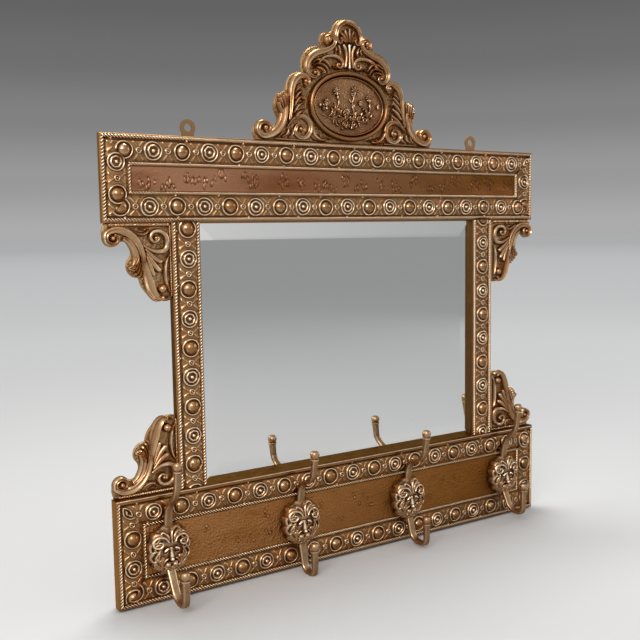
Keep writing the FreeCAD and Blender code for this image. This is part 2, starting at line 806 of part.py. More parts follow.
def strap_section(start, aim):
    """Eight-sided section of the strap, square to the way that the strap starts."""
    half = size("strap_width") / 2
    thick = size("strap_depth") / 2
    across = aim.cross(RIGHT).normalize()
    corners = [(half, thick / 2), (half / 2, thick), (-half / 2, thick), (-half, thick / 2),
               (-half, -thick / 2), (-half / 2, -thick), (half / 2, -thick), (half, -thick / 2)]
    points = [start + RIGHT * wide + across * deep for wide, deep in corners]
    return Part.Wire(Part.makePolygon(points + points[:1]).Edges)


def strap(points, bend):
    """Strap carried along a rounded path, with a collar and a ball at its end."""
    path = rounded_path(points, bend)
    section = strap_section(points[0], points[1] - points[0])
    bar = path.makePipeShell([section], True, False)
    aim = (points[-1] - points[-2]).normalize()
    collar = Part.makeCylinder(size("collar_radius"), size("collar_depth"), points[-1], aim)
    centre = points[-1] + aim * value("Sizes.collar_depth + Sizes.ball_radius / 2")
    return [bar, collar, Part.makeSphere(size("ball_radius"), centre)]


def mask_section(depth, outline_share, drop_share, lobe_share):
    """Lobed oval of the mask at a depth out from the panel."""
    height = value(MASK_HEIGHT)
    points = []
    count = 2 * MANE_LOBES
    for index in range(count):
        turn = 2 * math.pi * index / count
        reach_share = outline_share * (1 - lobe_share * (index % 2))
        across = reach_share * size("mask_width") / 2 * math.sin(turn)
        up = reach_share * height / 2 * math.cos(turn)
        points.append(spot(across, depth, up - drop_share * height))
    return Part.makePolygon(points + points[:1])


def mask_shape():
    """Lion mask: lobed mane, brow, face and muzzle as one ruled form."""
    sections = []
    for index, (alias, depth_share, outline_share, drop_share) in enumerate(MASK_SECTION_SHARES):
        lobe_share = MANE_LOBE_SHARE if index < 2 else 0
        sections.append(mask_section(size(alias) * depth_share, outline_share, drop_share, lobe_share))
    return Part.makeLoft(sections, True, True)


def hook_shape(mask, bend_shares):
    """One casting: mask, upper prong and lower hook with ball ends."""
    foot_share, elbow_share, tip_share, prong_share = bend_shares[:4]
    drop_share, curl_tip_share, curl_share, slant_share = bend_shares[4:]
    stand = value(STRAP_STAND)
    root = value(MASK_HEIGHT) / 4
    low = size("strap_root")
    reach = stand + prong_share * size("prong_reach")
    prong = [spot(0, low, root), spot(0, stand, foot_share * size("prong_foot")),
             spot(0, reach - size("prong_lean"), elbow_share * size("prong_elbow")),
             spot(0, reach, tip_share * size("prong_tip"))]
    out = curl_share * size("curl_reach")
    drop = drop_share * size("curl_drop")
    lower = [spot(0, low, -root), spot(0, stand + slant_share * out, -drop), spot(0, stand + out, -drop),
             spot(0, stand + out, -curl_tip_share * size("curl_tip"))]
    pieces = strap(prong, size("prong_bend")) + strap(lower, size("curl_bend"))
    return mask.fuse(pieces).removeSplitter().Solids[0]


def hooks(tools):
    """Four hooks along the base panel, each drilled by its screws."""
    mask = mask_shape()
    level = value(f"{BASE_TOP} - Sizes.base_height / 2")
    for number, (across, bend_shares) in enumerate(zip(hook_places(), HOOK_BEND_SHARES), start=1):
        place = Placement(spot(value(across), value(PANEL_FRONT), level), Rotation())
        formed(f"hook_{number}", hook_shape(mask, bend_shares), place, tools)


def build():
    """Make every piece in the document."""
    screws = group("backboard_screws", back_screws())
    eye_fixings = group("hanging_eye_screws", eye_screws())
    hook_fixings = group("hook_screws", hook_screws())
    frame_pegs = group("frame_dowels", frame_dowels())
    trim_pegs = group("trim_dowels", trim_dowels())
    eyes = [hanging_eye(f"{hand}_eye_plate", side) for hand, side in (("left", -1), ("right", 1))]
    for eye, hand in zip(eyes, ("left", "right")):
        named(cut(eye, [eye_fixings]), f"{hand}_hanging_eye")
    wood_frame([screws, eye_fixings, hook_fixings, frame_pegs, trim_pegs] + eyes)
    mirror_plate()
    mirror_backboard([screws])
    header_bottom = value(HEADER_BOTTOM)
    header_top = value(HEADER_TOP)
    header_folds = (size("board_depth"), 0, size("header_fold"))
    border("header", header_bottom, header_top, size("board_depth"), header_folds, eyes + [trim_pegs])
    base_folds = (0, size("base_depth"), size("base_fold"))
    border("base", value(BASE_BOTTOM), value(BASE_TOP), size("base_depth"), base_folds, [])
    stile_borders()
    panel("header_panel", "Sizes.board_depth", HEADER_BOTTOM, "Sizes.header_height", [])
    panel("base_panel", "Sizes.base_depth", BASE_BOTTOM, "Sizes.base_height", [hook_fixings])
    crest([trim_pegs])
    medallion()
    brackets([trim_pegs])
    hooks([hook_fixings])
    doc.recompute()


def check():
    """Stop if any object failed or any piece is empty or not valid."""
    for item in doc.Objects:
        if "Invalid" in item.State or "Error" in item.State:
            raise RuntimeError(f"{item.Label} failed: {item.State}")
    for item in subparts:
        if item.Shape.isNull() or not item.Shape.isValid() or not item.Shape.Solids:
            raise RuntimeError(f"{item.Label} has no valid solid")


def export():
    """Write each piece to its own file."""
    os.makedirs("parts", exist_ok=True)
    for item in subparts:
        item.Shape.exportStep(f"parts/{item.Label}.step")
        print(f"{item.Label}: {len(item.Shape.Solids)} solid(s), {item.Shape.Volume:.0f} mm3")


build()
check()
export()
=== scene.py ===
import logging
import math
from dataclasses import dataclass, field, replace
from enum import Enum
from typing import Any, Iterable, Sequence

import bmesh
import bpy
import numpy as np
from mathutils import Matrix, Vector


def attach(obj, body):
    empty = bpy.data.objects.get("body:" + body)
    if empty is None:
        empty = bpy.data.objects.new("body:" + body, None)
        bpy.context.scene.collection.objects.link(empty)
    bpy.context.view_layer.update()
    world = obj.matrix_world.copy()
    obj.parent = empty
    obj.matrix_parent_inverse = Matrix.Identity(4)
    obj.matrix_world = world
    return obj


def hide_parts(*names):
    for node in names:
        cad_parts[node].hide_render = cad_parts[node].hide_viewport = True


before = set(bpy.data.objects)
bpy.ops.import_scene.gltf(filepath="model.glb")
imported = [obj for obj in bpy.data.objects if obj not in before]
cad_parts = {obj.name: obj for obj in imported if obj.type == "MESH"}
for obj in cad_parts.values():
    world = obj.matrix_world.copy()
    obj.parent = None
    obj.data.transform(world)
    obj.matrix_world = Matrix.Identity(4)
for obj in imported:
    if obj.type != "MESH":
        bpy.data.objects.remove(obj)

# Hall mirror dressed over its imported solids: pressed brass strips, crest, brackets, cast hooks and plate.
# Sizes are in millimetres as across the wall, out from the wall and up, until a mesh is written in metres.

log = logging.getLogger("hall_mirror")

Array = np.ndarray
Triple = tuple[float, float, float]
Colour = Triple
Points = Sequence[tuple[float, float]]
StrokeRow = tuple[Points, Sequence[float], float]
Arcs = tuple[tuple[tuple[float, float], tuple[float, float]], ...]

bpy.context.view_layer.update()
MILLIMETRE = 0.001
BODY = "root"
FULL_TURN = 2 * math.pi

HEADER_TOP = -10.0
HEADER_BOTTOM = -95.0
BASE_TOP = -366.0
BASE_BOTTOM = -477.0
HALF_FRAME = 286.0
STILE_EDGE = 216.0
HEADER_FRONT = 11.0
BASE_FRONT = 16.0
GLASS_FRONT = 7.0
STRIP_WIDTH = 31.0
SHEET = 0.8

STROKE_WEAR = 0.5
BOSS_WEAR = 0.7
PLAIN_WEAR = 0.46
GROUND_WEAR = 0.27


class Profile(Enum):
    """Cross-section of a raised stroke."""

    ROUND = "round"
    FLUTED = "fluted"
    TROUGH = "trough"
    LEAF = "leaf"
    ROPE = "rope"


class Slot(Enum):
    """Material slots of the record."""

    PRESSED = "pressed_brass"
    COPPER = "copper_sheet"
    CAST = "cast_brass"


# Arrays and shells


@dataclass
class Shell:
    """Mesh data: points as across, out and up in millimetres, faces of four, caps, and tone per point (rubbing,
    painted light).
    """

    points: Array
    faces: Array
    wear_and_painted_light: Array
    caps: list[Array] = field(default_factory=list)

    def mirrored(self, across: bool, up: bool) -> "Shell":
        """Copy turned over left to right, upside down or both.

        Args:
            across: whether the across value changes sign.
            up: whether the up value changes sign.

        Returns:
            The turned copy, with its faces still pointing outwards.
        """
        signs = np.array([-1.0 if across else 1.0, 1.0, -1.0 if up else 1.0])
        turned = across != up
        faces = self.faces[:, ::-1] if turned else self.faces
        caps = [cap[::-1] if turned else cap for cap in self.caps]
        return Shell(self.points * signs, faces, self.wear_and_painted_light, caps)

    def moved(self, across: float, out: float, up: float) -> "Shell":
        """Copy shifted by a distance across, out and up."""
        return replace(self, points=self.points + np.array([across, out, up]))

    def lifted(self, lift: Array) -> "Shell":
        """Copy with a lift out from the wall added at each point."""
        return replace(self, points=self.points + lift[:, None] * np.array([0.0, 1.0, 0.0]))


def joined(shells: Iterable[Shell]) -> Shell:
    """One shell that holds several, with their indices shifted to follow one another.

    Args:
        shells: the shells in order.

    Returns:
        The joined shell.
    """
    listed = list(shells)
    starts = np.concatenate([[0], np.cumsum([len(shell.points) for shell in listed])])
    return Shell(
        np.concatenate([shell.points for shell in listed]),
        np.concatenate([shell.faces + start for shell, start in zip(listed, starts)]),
        np.concatenate([shell.wear_and_painted_light for shell in listed]),
        [cap + start for shell, start in zip(listed, starts) for cap in shell.caps],
    )


def grid_faces(rows: int, columns: int, wrap: bool = False, close: bool = False) -> Array:
    """Faces of a grid whose points run row by row; each goes along the rows first, then across the columns.

    Args:
        rows: number of rows.
        columns: number of points in a row.
        wrap: whether the last column joins the first.
        close: whether the last row joins the first.

    Returns:
        Corner indices, four to a face.
    """
    index = np.arange(rows * columns).reshape(rows, columns)
    index = np.concatenate([index, index[:, :1]], axis=1) if wrap else index
    index = np.concatenate([index, index[:1]]) if close else index
    corners = (index[:-1, :-1], index[1:, :-1], index[1:, 1:], index[:-1, 1:])
    return np.stack(corners, axis=-1).reshape(-1, 4)


def half_round(distance: Array, radius: float) -> Array:
    """Height share of a half-round bar: root of one less the squared share of the radius, zero outside it."""
    return np.sqrt(np.clip(1.0 - (distance / radius) ** 2, 0.0, None))


def smoothstep(value: Array, low: float, high: float) -> Array:
    """Smooth rise from zero at a low value to one at a high value."""
    share = np.clip((value - low) / (high - low), 0.0, 1.0)
    return share * share * (3.0 - 2.0 * share)


def spread_along(share: Array, stops: Sequence[float]) -> Array:
    """Values at shares of a length, read in straight runs between stops at even steps."""
    return np.interp(share, np.linspace(0, 1, len(stops)), stops)


def box_mean(values: Array, reach: int, axis: int) -> Array:
    """Running mean over a window of two reaches and one along an axis, with the edges repeated.

    Args:
        values: numbers on a grid.
        reach: how many neighbours the window takes in on each side.
        axis: axis along which it runs.

    Returns:
        The mean at each place of the grid.
    """
    pad = [(0, 0)] * values.ndim
    pad[axis] = (reach + 1, reach)
    total = np.cumsum(np.pad(values, pad, mode="edge"), axis=axis)
    size, window = values.shape[axis], 2 * reach + 1
    ahead = np.take(total, np.arange(window, window + size), axis=axis)
    behind = np.take(total, np.arange(size), axis=axis)
    return (ahead - behind) / window


def blurred(values: Array, rows: int, columns: int) -> Array:
    """Running mean of a grid over a window of rows and then of columns."""
    return box_mean(box_mean(values, rows, 0), columns, 1)


def relief_wear(points: Array, cell: float, reach: int, span: float) -> Array:
    """Wear from relief: how far a point stands above the mean of the highest points in the cells round it.

    Args:
        points: across, out and up of each point.
        cell: width of a cell.
        reach: how many cells the mean takes in on each side.
        span: height difference that goes from fully dark to fully bright.

    Returns:
        Wear from zero in a hollow to one on a high place.
    """
    flat = points[:, [0, 2]]
    place = ((flat - flat.min(axis=0)) / cell).astype(int)
    top = np.full(place.max(axis=0) + 1, -np.inf)
    np.maximum.at(top, (place[:, 0], place[:, 1]), points[:, 1])
    filled = np.isfinite(top)
    heights = np.where(filled, top, 0.0)
    weight = blurred(filled.astype(float), reach, reach)
    mean = blurred(heights, reach, reach) / np.maximum(weight, 1e-6)
    return np.clip(0.5 + (points[:, 1] - mean[place[:, 0], place[:, 1]]) / span, 0.0, 1.0)


def even_steps(line: Array, count: int) -> tuple[Array, Array, Array]:
    """Line read again at even steps of its length.

    Args:
        line: points of the line, one to a row.
        count: number of points wanted.

    Returns:
        The new points, the length up to each old point and the length up to each new one.
    """
    length = np.concatenate([[0.0], np.cumsum(np.linalg.norm(np.diff(line, axis=0), axis=1))])
    even = np.linspace(0.0, length[-1], count)
    found = np.stack([np.interp(even, length, values) for values in line.T], axis=1)
    return found, length, even


def smooth_path(points: Array, count: int) -> tuple[Array, Array]:
    """Smooth curve through points: a cubic through each four neighbours, read at even steps of its length.

    Args:
        points: control points, one to a row.
        count: number of points wanted.

    Returns:
        Points on the curve, and the place of each among the control points as a share of the whole.
    """
    ends = np.concatenate([2 * points[:1] - points[1:2], points, 2 * points[-1:] - points[-2:-1]])
    spans = len(points) - 1
    place = np.linspace(0.0, spans, 24 * spans + 1)
    index = np.minimum(place.astype(int), spans - 1)
    part = (place - index)[:, None]
    first, second, third, fourth = (ends[index + shift] for shift in range(4))
    curve = 0.5 * (
        2 * second
        + (third - first) * part
        + (2 * first - 5 * second + 4 * third - fourth) * part**2
        + (3 * second - first - 3 * third + fourth) * part**3
    )
    found, length, even = even_steps(curve, count)
    return found, np.interp(even, length, place) / spans


def directions(line: Array) -> Array:
    """Unit direction of a line at each of its points."""
    ahead = np.gradient(line, axis=0)
    return ahead / np.linalg.norm(ahead, axis=1, keepdims=True)


def capped(points: Array) -> Array:
    """Rows of points with a row added at each end that lies in one place, the middle of the end section."""
    ends = [np.broadcast_to(points[row].mean(axis=0), points[:1].shape) for row in (0, -1)]
    return np.concatenate([ends[0], points, ends[1]])


def turned_rings(across: Array, out: Array, up: Array, steps: int) -> Array:
    """Oval rings about the line out from the wall: across by the cosine of the turn, out, and up by its sine.

    Args:
        across: half width of each ring.
        out: height out of each ring.
        up: half height of each ring.
        steps: number of points round a ring.

    Returns:
        Across, out and up at every ring and step.
    """
    turn = np.linspace(0.0, FULL_TURN, steps, endpoint=False)
    level = np.broadcast_to(out[:, None], (len(out), steps))
    return np.stack([across[:, None] * np.cos(turn), level, up[:, None] * np.sin(turn)], axis=-1)


def ball(centre: Triple, radius: float, rise: float, steps: int = 20) -> Shell:
    """Round boss facing out: a half oval turned about its axis, sunk a little below its foot.

    Args:
        centre: across, out and up of the middle of its foot.
        radius: radius of the foot.
        rise: height out from the foot.
        steps: number of points round the foot.

    Returns:
        The closed boss.
    """
    lift = np.linspace(-0.25 * math.pi, 0.5 * math.pi, steps // 2 + 2)
    reach = radius * np.cos(np.maximum(lift, 0.0)) * np.where(lift < 0, 0.999, 1.0)
    reach[0] = 0.0
    points = (turned_rings(reach, rise * np.sin(lift), reach, steps) + np.array(centre)).reshape(-1, 3)
    return Shell(points, grid_faces(len(lift), steps, wrap=True)[:, ::-1], np.full(len(points), BOSS_WEAR))


@dataclass(frozen=True)
class Stroke:
    """Raised bar of a scroll or leaf along a curve in the plane of the wall."""

    path: Points
    widths: Sequence[float]
    rise: float = 4.0
    profile: Profile = Profile.ROUND
    swell: Sequence[float] = (1.0, 1.0)
    sunk: float = 1.0

    def shell(self, foot: float, step: float = 0.9, across: int = 11) -> Shell:
        """Carry the cross-section along the curve.

        A point lies at the curve plus its half width times its share across, and stands out by its foot plus
        the rise times the section's height there. Both shrink to nothing at the ends in a quarter oval.

        Args:
            foot: height out from the wall of the ground that it stands on.
            step: distance between sections.
            across: number of points across the top.

        Returns:
            The closed bar.
        """
        control = np.array(self.path, float)
        length = np.linalg.norm(np.diff(control, axis=0), axis=1).sum()
        count = max(int(length / step), 10)
        line, share = smooth_path(control, count)
        tangent = directions(line)
        side = np.stack([-tangent[:, 1], tangent[:, 0]], axis=1)
        half = spread_along(share, self.widths)
        run = np.linspace(0.0, length, count)
        cap = np.maximum(half, 0.4)
        end = half_round(1.0 - np.clip(np.minimum(run, length - run) / cap, 0.0, 1.0), 1.0)
        rise = self.rise * spread_along(share, self.swell)
        place = np.linspace(-1.0, 1.0, across)
        height = self._section(place, run) * (rise * (0.25 + 0.75 * end) * (end > 0))[:, None]
        flat = line[:, None, :] + side[:, None, :] * (half * end)[:, None, None] * place[None, :, None]
        top = np.stack([flat[..., 0], foot + height, flat[..., 1]], axis=-1)
        under = top[:, [-1, 0], :].copy()
        under[..., 1] = foot - self.sunk
        points = np.concatenate([top, under], axis=1).reshape(-1, 3)
        return Shell(points, grid_faces(count, across + 2, wrap=True), np.full(len(points), STROKE_WEAR))

    def _section(self, place: Array, run: Array) -> Array:
        """Height of the section, as a half round that its profile hollows, ridges or twists.

        Args:
            place: shares across, from minus one to one.
            run: distances along the curve.

        Returns:
            Height share at each distance and each share across.
        """
        crown = half_round(place, 1.0)[None, :] ** 0.8
        section = crown
        if self.profile is Profile.FLUTED:
            section = crown - 0.42 * np.exp(-(((place - 0.12) / 0.42) ** 2))
        elif self.profile is Profile.TROUGH:
            section = crown**0.35 * (0.4 + 0.6 * place**2)
        elif self.profile is Profile.LEAF:
            section = 0.45 * crown + 0.55 * (1.0 - np.abs(place)) ** 0.8
        elif self.profile is Profile.ROPE:
            twist = np.abs(np.cos(math.pi * (run[:, None] / 2.4 + 0.45 * place[None, :])))
            section = crown * (0.5 + 0.5 * twist**0.7)
        return np.broadcast_to(section, (len(run), len(place)))


def strokes_of(profile: Profile, rows: Iterable[StrokeRow]) -> list[Stroke]:
    """Strokes of one profile from rows of path, half widths and rise."""
    return [Stroke(path, widths, rise, profile) for path, widths, rise in rows]


def ornament(strokes: Iterable[Stroke], bosses: Iterable[Sequence[float]], foot: float) -> list[Shell]:
    """Shells of strokes and round bosses on one ground.

    Args:
        strokes: the strokes.
        bosses: across, up, radius and rise of each boss.
        foot: height out of the ground.

    Returns:
        The shells in order.
    """
    bars = [stroke.shell(foot) for stroke in strokes]
    return bars + [ball((across, foot, up), radius, rise) for across, up, radius, rise in bosses]


def worn_ornament(shells: Iterable[Shell]) -> Shell:
    """One shell with wear from its relief, and with an even wear on its bosses.

    Args:
        shells: strokes and bosses.

    Returns:
        The joined shell.
    """
    whole = joined(shells)
    wear_and_painted_light = 0.08 + 0.84 * relief_wear(whole.points, 0.8, 5, 4.6)
    return replace(whole, wear_and_painted_light=np.where(whole.wear_and_painted_light > STROKE_WEAR, 0.6, wear_and_painted_light))


def arc_points(start: Array, middle: Array, end: Array, count: int = 14) -> Array:
    """Points on the circle through three points, from the first up to but not including the last.

    The centre is where the two mid-lines meet, and the points turn about it at even angles.

    Args:
        start: first point.
        middle: a point on the way.
        end: last point.
        count: number of points wanted.

    Returns:
        The points, one to a row.
    """
    first, second = middle - start, end - middle
    sides = 2.0 * np.array([first, second])
    centre = np.linalg.solve(sides, np.array([middle @ middle - start @ start, end @ end - middle @ middle]))
    angles = np.arctan2(*(np.array([start, middle, end]) - centre).T[::-1])
    turned = first[0] * second[1] - first[1] * second[0] > 0
    sweep = (angles[2] - angles[0]) % FULL_TURN
    sweep = sweep if turned else sweep - FULL_TURN
    turn = angles[0] + sweep * np.linspace(0, 1, count, endpoint=False)
    return centre + np.linalg.norm(start - centre) * np.stack([np.cos(turn), np.sin(turn)], axis=1)


def arc_chain(foot_share: float, arcs: Arcs, size: tuple[float, float]) -> Array:
    """Chain of arcs that starts on the lower edge, each from the end of the last over a middle to its end.

    Args:
        foot_share: where it starts, as a share of the width.
        arcs: middle and end of each arc, as shares of width and height.
        size: width and height.

    Returns:
        Points of the chain, one to a row.
    """
    scale = np.array(size)
    start = np.array([foot_share, 0.0]) * scale
    parts = []
    for middle, end in arcs:
        parts.append(arc_points(start, np.array(middle) * scale, np.array(end) * scale))
        start = np.array(end) * scale
    return np.concatenate([*parts, [start]])


def outlined_plate(outline: Array, back: float, front: float, roll: float = 1.2) -> Shell:
    """Plate with a rolled front edge: a short section carried round an outline, with a cap on each side.

    Args:
        outline: across and up of its edge, against the clock as seen from the front.
        back: height out of its back.
        front: height out of its front.
        roll: radius of the rolled edge.

    Returns:
        The closed plate.
    """
    ahead = np.roll(outline, -1, axis=0) - np.roll(outline, 1, axis=0)
    ahead /= np.linalg.norm(ahead, axis=1, keepdims=True)
    inward = np.stack([-ahead[:, 1], ahead[:, 0]], axis=1)
    insets = np.array([0.0, 0.0, 0.3, 1.0]) * roll
    outs = np.array([back, front - roll, front - 0.3 * roll, front])
    rings = outline[:, None, :] + inward[:, None, :] * insets[None, :, None]
    count, levels = rings.shape[:2]
    points = np.stack([rings[..., 0], np.broadcast_to(outs, (count, levels)), rings[..., 1]], axis=-1)
    index = np.arange(count * levels).reshape(count, levels)
    shades = np.tile(np.array([0.3, 0.5, 0.5, GROUND_WEAR]), count)
    faces = grid_faces(count, levels, close=True)
    return Shell(points.reshape(-1, 3), faces, shades, [index[:, -1], index[::-1, 0]])


# Shader building


class Tree:
    """Node tree of a finish or of the world."""

    def __init__(self, owner: Any) -> None:
        """Empty the node tree of a new material or world.

        Args:
            owner: the material or world.
        """
        owner.use_nodes = True
        self.owner = owner
        self.tree = owner.node_tree
        self.tree.nodes.clear()

    def add(self, kind: str, settings: dict[str, Any] | None = None,
            sockets: dict[Any, Any] | None = None) -> Any:
        """Add a node, set its own settings first, then give its sockets values or links.

        Args:
            kind: Blender's name of the node type.
            settings: attributes of the node.
            sockets: values, sockets or levels by the socket's name, number or identifier.

        Returns:
            The new node.
        """
        node = self.tree.nodes.new(kind)
        for key, value in (settings or {}).items():
            setattr(node, key, value)
        for key, value in (sockets or {}).items():
            self.put(self._socket(node, key), value)
        return node

    @staticmethod
    def _socket(node: Any, key: Any) -> Any:
        """Input socket of a node.

        Args:
            node: the node.
            key: number, identifier or name of the socket.

        Returns:
            The socket.
        """
        if isinstance(key, int):
            return node.inputs[key]
        return next((item for item in node.inputs if item.identifier == key), None) or node.inputs[key]

    def put(self, socket: Any, value: Any) -> None:
        """Give an input socket a value or a link.

        Args:
            socket: the input socket.
            value: a number, a colour, a level or another socket.
        """
        if isinstance(value, Level):
            self.tree.links.new(value.socket, socket)
        elif isinstance(value, bpy.types.NodeSocket):
            self.tree.links.new(value, socket)
        elif isinstance(value, tuple) and socket.type == "RGBA":
            socket.default_value = (*value, 1.0)
        else:
            socket.default_value = value

    def place(self, scale: Triple = (1, 1, 1)) -> Any:
        """Object coordinates, scaled by a Mapping node."""
        coordinates = self.add("ShaderNodeTexCoord").outputs["Object"]
        return self.add("ShaderNodeMapping", sockets={"Vector": coordinates, "Scale": scale}).outputs[0]

    def attribute(self, name: str) -> "Level":
        """Value of one of the piece's own attributes."""
        return Level(self, self.add("ShaderNodeAttribute", {"attribute_name": name}).outputs["Fac"])

    def noise(self, scale: float, detail: float = 3.0, rough: float = 0.55, vector: Any = None) -> "Level":
        """Noise on object coordinates.

        Args:
            scale: waves to a metre.
            detail: number of finer layers.
            rough: share of each finer layer.
            vector: coordinates to use in place of the plain ones.

        Returns:
            The noise from zero to one.
        """
        node = self.add(
            "ShaderNodeTexNoise",
            sockets={"Vector": vector or self.place(), "Scale": scale, "Detail": detail, "Roughness": rough},
        )
        return Level(self, node.outputs["Fac"])

    def pits(self, scale: float) -> "Level":
        """Distance to the nearest of many scattered points, its scale in cells to a metre."""
        node = self.add("ShaderNodeTexVoronoi", sockets={"Vector": self.place(), "Scale": scale})
        return Level(self, node.outputs["Distance"])

    def mix(self, factor: Any, first: Any, second: Any) -> Any:
        """Colour between two colours.

        Args:
            factor: share of the second colour.
            first: colour at zero.
            second: colour at one.

        Returns:
            The mixed colour's socket.
        """
        node = self.add(
            "ShaderNodeMix",
            {"data_type": "RGBA"},
            {"Factor_Float": factor, "A_Color": first, "B_Color": second},
        )
        return next(item for item in node.outputs if item.identifier == "Result_Color")


class Surface(Tree):
    """Node tree of one finish, with its output and its shader."""

    def __init__(self, name: str) -> None:
        """Start a new material.

        Args:
            name: name of the material.
        """
        super().__init__(bpy.data.materials.new(name))
        self.shader = self.add("ShaderNodeBsdfPrincipled")
        self.add("ShaderNodeOutputMaterial", sockets={"Surface": self.shader.outputs[0]})

    def bump(self, height: "Level", distance: float, strength: float = 1.0) -> None:
        """Feed the shader's normal from a height in metres of distance."""
        sockets = {"Height": height, "Distance": distance, "Strength": strength}
        self.put(self.shader.inputs["Normal"], self.add("ShaderNodeBump", sockets=sockets).outputs[0])

    def finish(self, **sockets: Any) -> bpy.types.Material:
        """Give the shader its inputs.

        Args:
            sockets: values, sockets or levels by the input's name, with underscores for its spaces.

        Returns:
            The finished material.
        """
        for name, value in sockets.items():
            self.put(self.shader.inputs[name.replace("_", " ").title().replace("Ior", "IOR")], value)
        return self.owner


class Level:
    """Number that varies over a surface, with arithmetic that adds Math nodes."""

    def __init__(self, tree: Tree, socket: Any) -> None:
        """Wrap an output socket."""
        self.tree = tree
        self.socket = socket

    def _math(self, operation: str, first: Any, second: Any) -> "Level":
        """Math node on two numbers or levels."""
        node = self.tree.add("ShaderNodeMath", {"operation": operation}, {0: first, 1: second})
        return Level(self.tree, node.outputs[0])

    def __add__(self, other: Any) -> "Level":
        """Sum."""
        return self._math("ADD", self, other)

    def __radd__(self, other: Any) -> "Level":
        """Sum with the level on the right."""
        return self._math("ADD", other, self)

    def __sub__(self, other: Any) -> "Level":
        """Difference."""
        return self._math("SUBTRACT", self, other)

    def __rsub__(self, other: Any) -> "Level":
        """Difference with the level on the right."""
        return self._math("SUBTRACT", other, self)

    def __mul__(self, other: Any) -> "Level":
        """Product."""
        return self._math("MULTIPLY", self, other)

    def __rmul__(self, other: Any) -> "Level":
        """Product with the level on the right."""
        return self._math("MULTIPLY", other, self)

    def rise(self, low: float, high: float) -> "Level":
        """Smooth step of the level.

        Args:
            low: value that gives zero.
            high: value that gives one.

        Returns:
            The step from zero to one.
        """
        sockets = {"Value": self, "From Min": low, "From Max": high}
        node = self.tree.add("ShaderNodeMapRange", {"interpolation_type": "SMOOTHSTEP"}, sockets)
        return Level(self.tree, node.outputs["Result"])


# Finishes


@dataclass(frozen=True)
class BrassFinish:
    """Aged brass: dark wax in the hollows, brown body, bright on worn high places, plus painted highlight and
    shade.
    """

    name: str
    hollow: Colour
    body: Colour
    bright: Colour
    patch: Colour
    sheen: float = 0.24
    dull: float = 0.5
    grain: float = 0.00006
    stipple: float = 0.0
    painted_right_shade: Colour | None = None
    streak: float = 1.0
    speckle: float = 0.16
    pitting: float = 0.0
    edge: Colour = (0.8, 0.6, 0.42)
    mottle_scale: float = 160.0
    speck_scale: float = 900.0
    cloud_scale: float = 28.0
    pit_scale: float = 460.0
    dot_scale: float = 420.0

    def material(self) -> bpy.types.Material:
        """Build the material from the wear of each point and noise at three scales.

        Its tone is that per-point value plus mottle, specks, pits and dots. The colour goes with the tone from
        the hollow's over the body's to the bright one, and the roughness falls as the tone rises. A painted
        right-hand shade, if set, darkens the body towards the right, standing in for light that falls off on
        that side.

        Returns:
            The material.
        """
        tree = Surface(self.name)
        # Per-point tone: rubbing, and on some pieces painted highlight and painted shade.
        wear_and_painted_light = tree.attribute("wear_and_painted_light")
        mottle = tree.noise(self.mottle_scale, 4.0, 0.6)
        speck = tree.noise(self.speck_scale, 2.0, 0.6)
        cloud = tree.noise(self.cloud_scale, 3.0, 0.5, tree.place((self.streak, 1.0, 1.0)))
        tone = wear_and_painted_light + 0.42 * (mottle - 0.5) + self.speckle * (speck - 0.5)
        height = 0.6 * mottle + 0.4 * speck
        if self.pitting:
            pits = tree.pits(self.pit_scale)
            tone = tone + self.pitting * (pits - 0.45)
            height = height + 1.4 * pits
        if self.stipple:
            ground = 1.0 - wear_and_painted_light.rise(0.3, 0.45)
            dots = tree.pits(self.dot_scale)
            tone = tone + 0.7 * ground * (dots - 0.45)
            height = height + self.stipple * ground * dots
        body = self.body
        # Painted shade: the body darkens towards the right, standing in for light that falls off on that side.
        if self.painted_right_shade:
            across = tree.add("ShaderNodeSeparateXYZ", sockets={0: tree.place()}).outputs["X"]
            body = tree.mix(Level(tree, across).rise(-0.28, 0.26), body, self.painted_right_shade)
        base = tree.mix(cloud.rise(0.42, 0.68), body, self.patch)
        base = tree.mix(tone.rise(0.1, 0.46), self.hollow, base)
        base = tree.mix(tone.rise(0.64, 1.02), base, self.bright)
        rough = self.dull - (self.dull - self.sheen) * tone.rise(0.25, 0.8) + 0.1 * (speck - 0.5)
        tree.bump(height, self.grain)
        return tree.finish(base_color=base, metallic=1.0, roughness=rough, specular_tint=self.edge)


@dataclass(frozen=True)
class WoodFinish:
    """Stained wood with grain along one axis."""

    name: str
    light: Colour
    dark: Colour
    along: Triple = (0.06, 1.0, 1.0)

    def material(self) -> bpy.types.Material:
        """Build the material from noise drawn out along the grain.

        Returns:
            The material.
        """
        tree = Surface(self.name)
        drawn = tree.place(self.along)
        grain = tree.noise(260.0, 5.0, 0.65, drawn)
        pores = tree.noise(1400.0, 2.0, 0.5, drawn)
        stain = tree.noise(14.0, 2.0)
        tone = grain + 0.35 * (pores - 0.5) + 0.4 * (stain - 0.5)
        base = tree.mix(tone.rise(0.32, 0.7), self.dark, self.light)
        tree.bump(grain + 0.5 * pores, 0.0003, 0.6)
        return tree.finish(base_color=base, roughness=0.72 - 0.18 * tone.rise(0.3, 0.7))


@dataclass(frozen=True)
class PlateFinish:
    """Silvered glass, a little smoky, with specks where the silver has worn."""

    name: str = "silvered_plate"
    silver: Colour = (0.86, 0.875, 0.87)
    smoke: Colour = (0.56, 0.55, 0.5)

    def material(self) -> bpy.types.Material:
        """Build the material: a smooth mirror with sparse dim specks.

        Returns:
            The material.
        """
        tree = Surface(self.name)
        specks = tree.pits(75.0).rise(0.1, 0.02) * tree.noise(22.0, 2.0).rise(0.62, 0.75)
        base = tree.mix(specks, self.silver, self.smoke)
        return tree.finish(base_color=base, metallic=1.0, roughness=0.012 + 0.2 * specks)


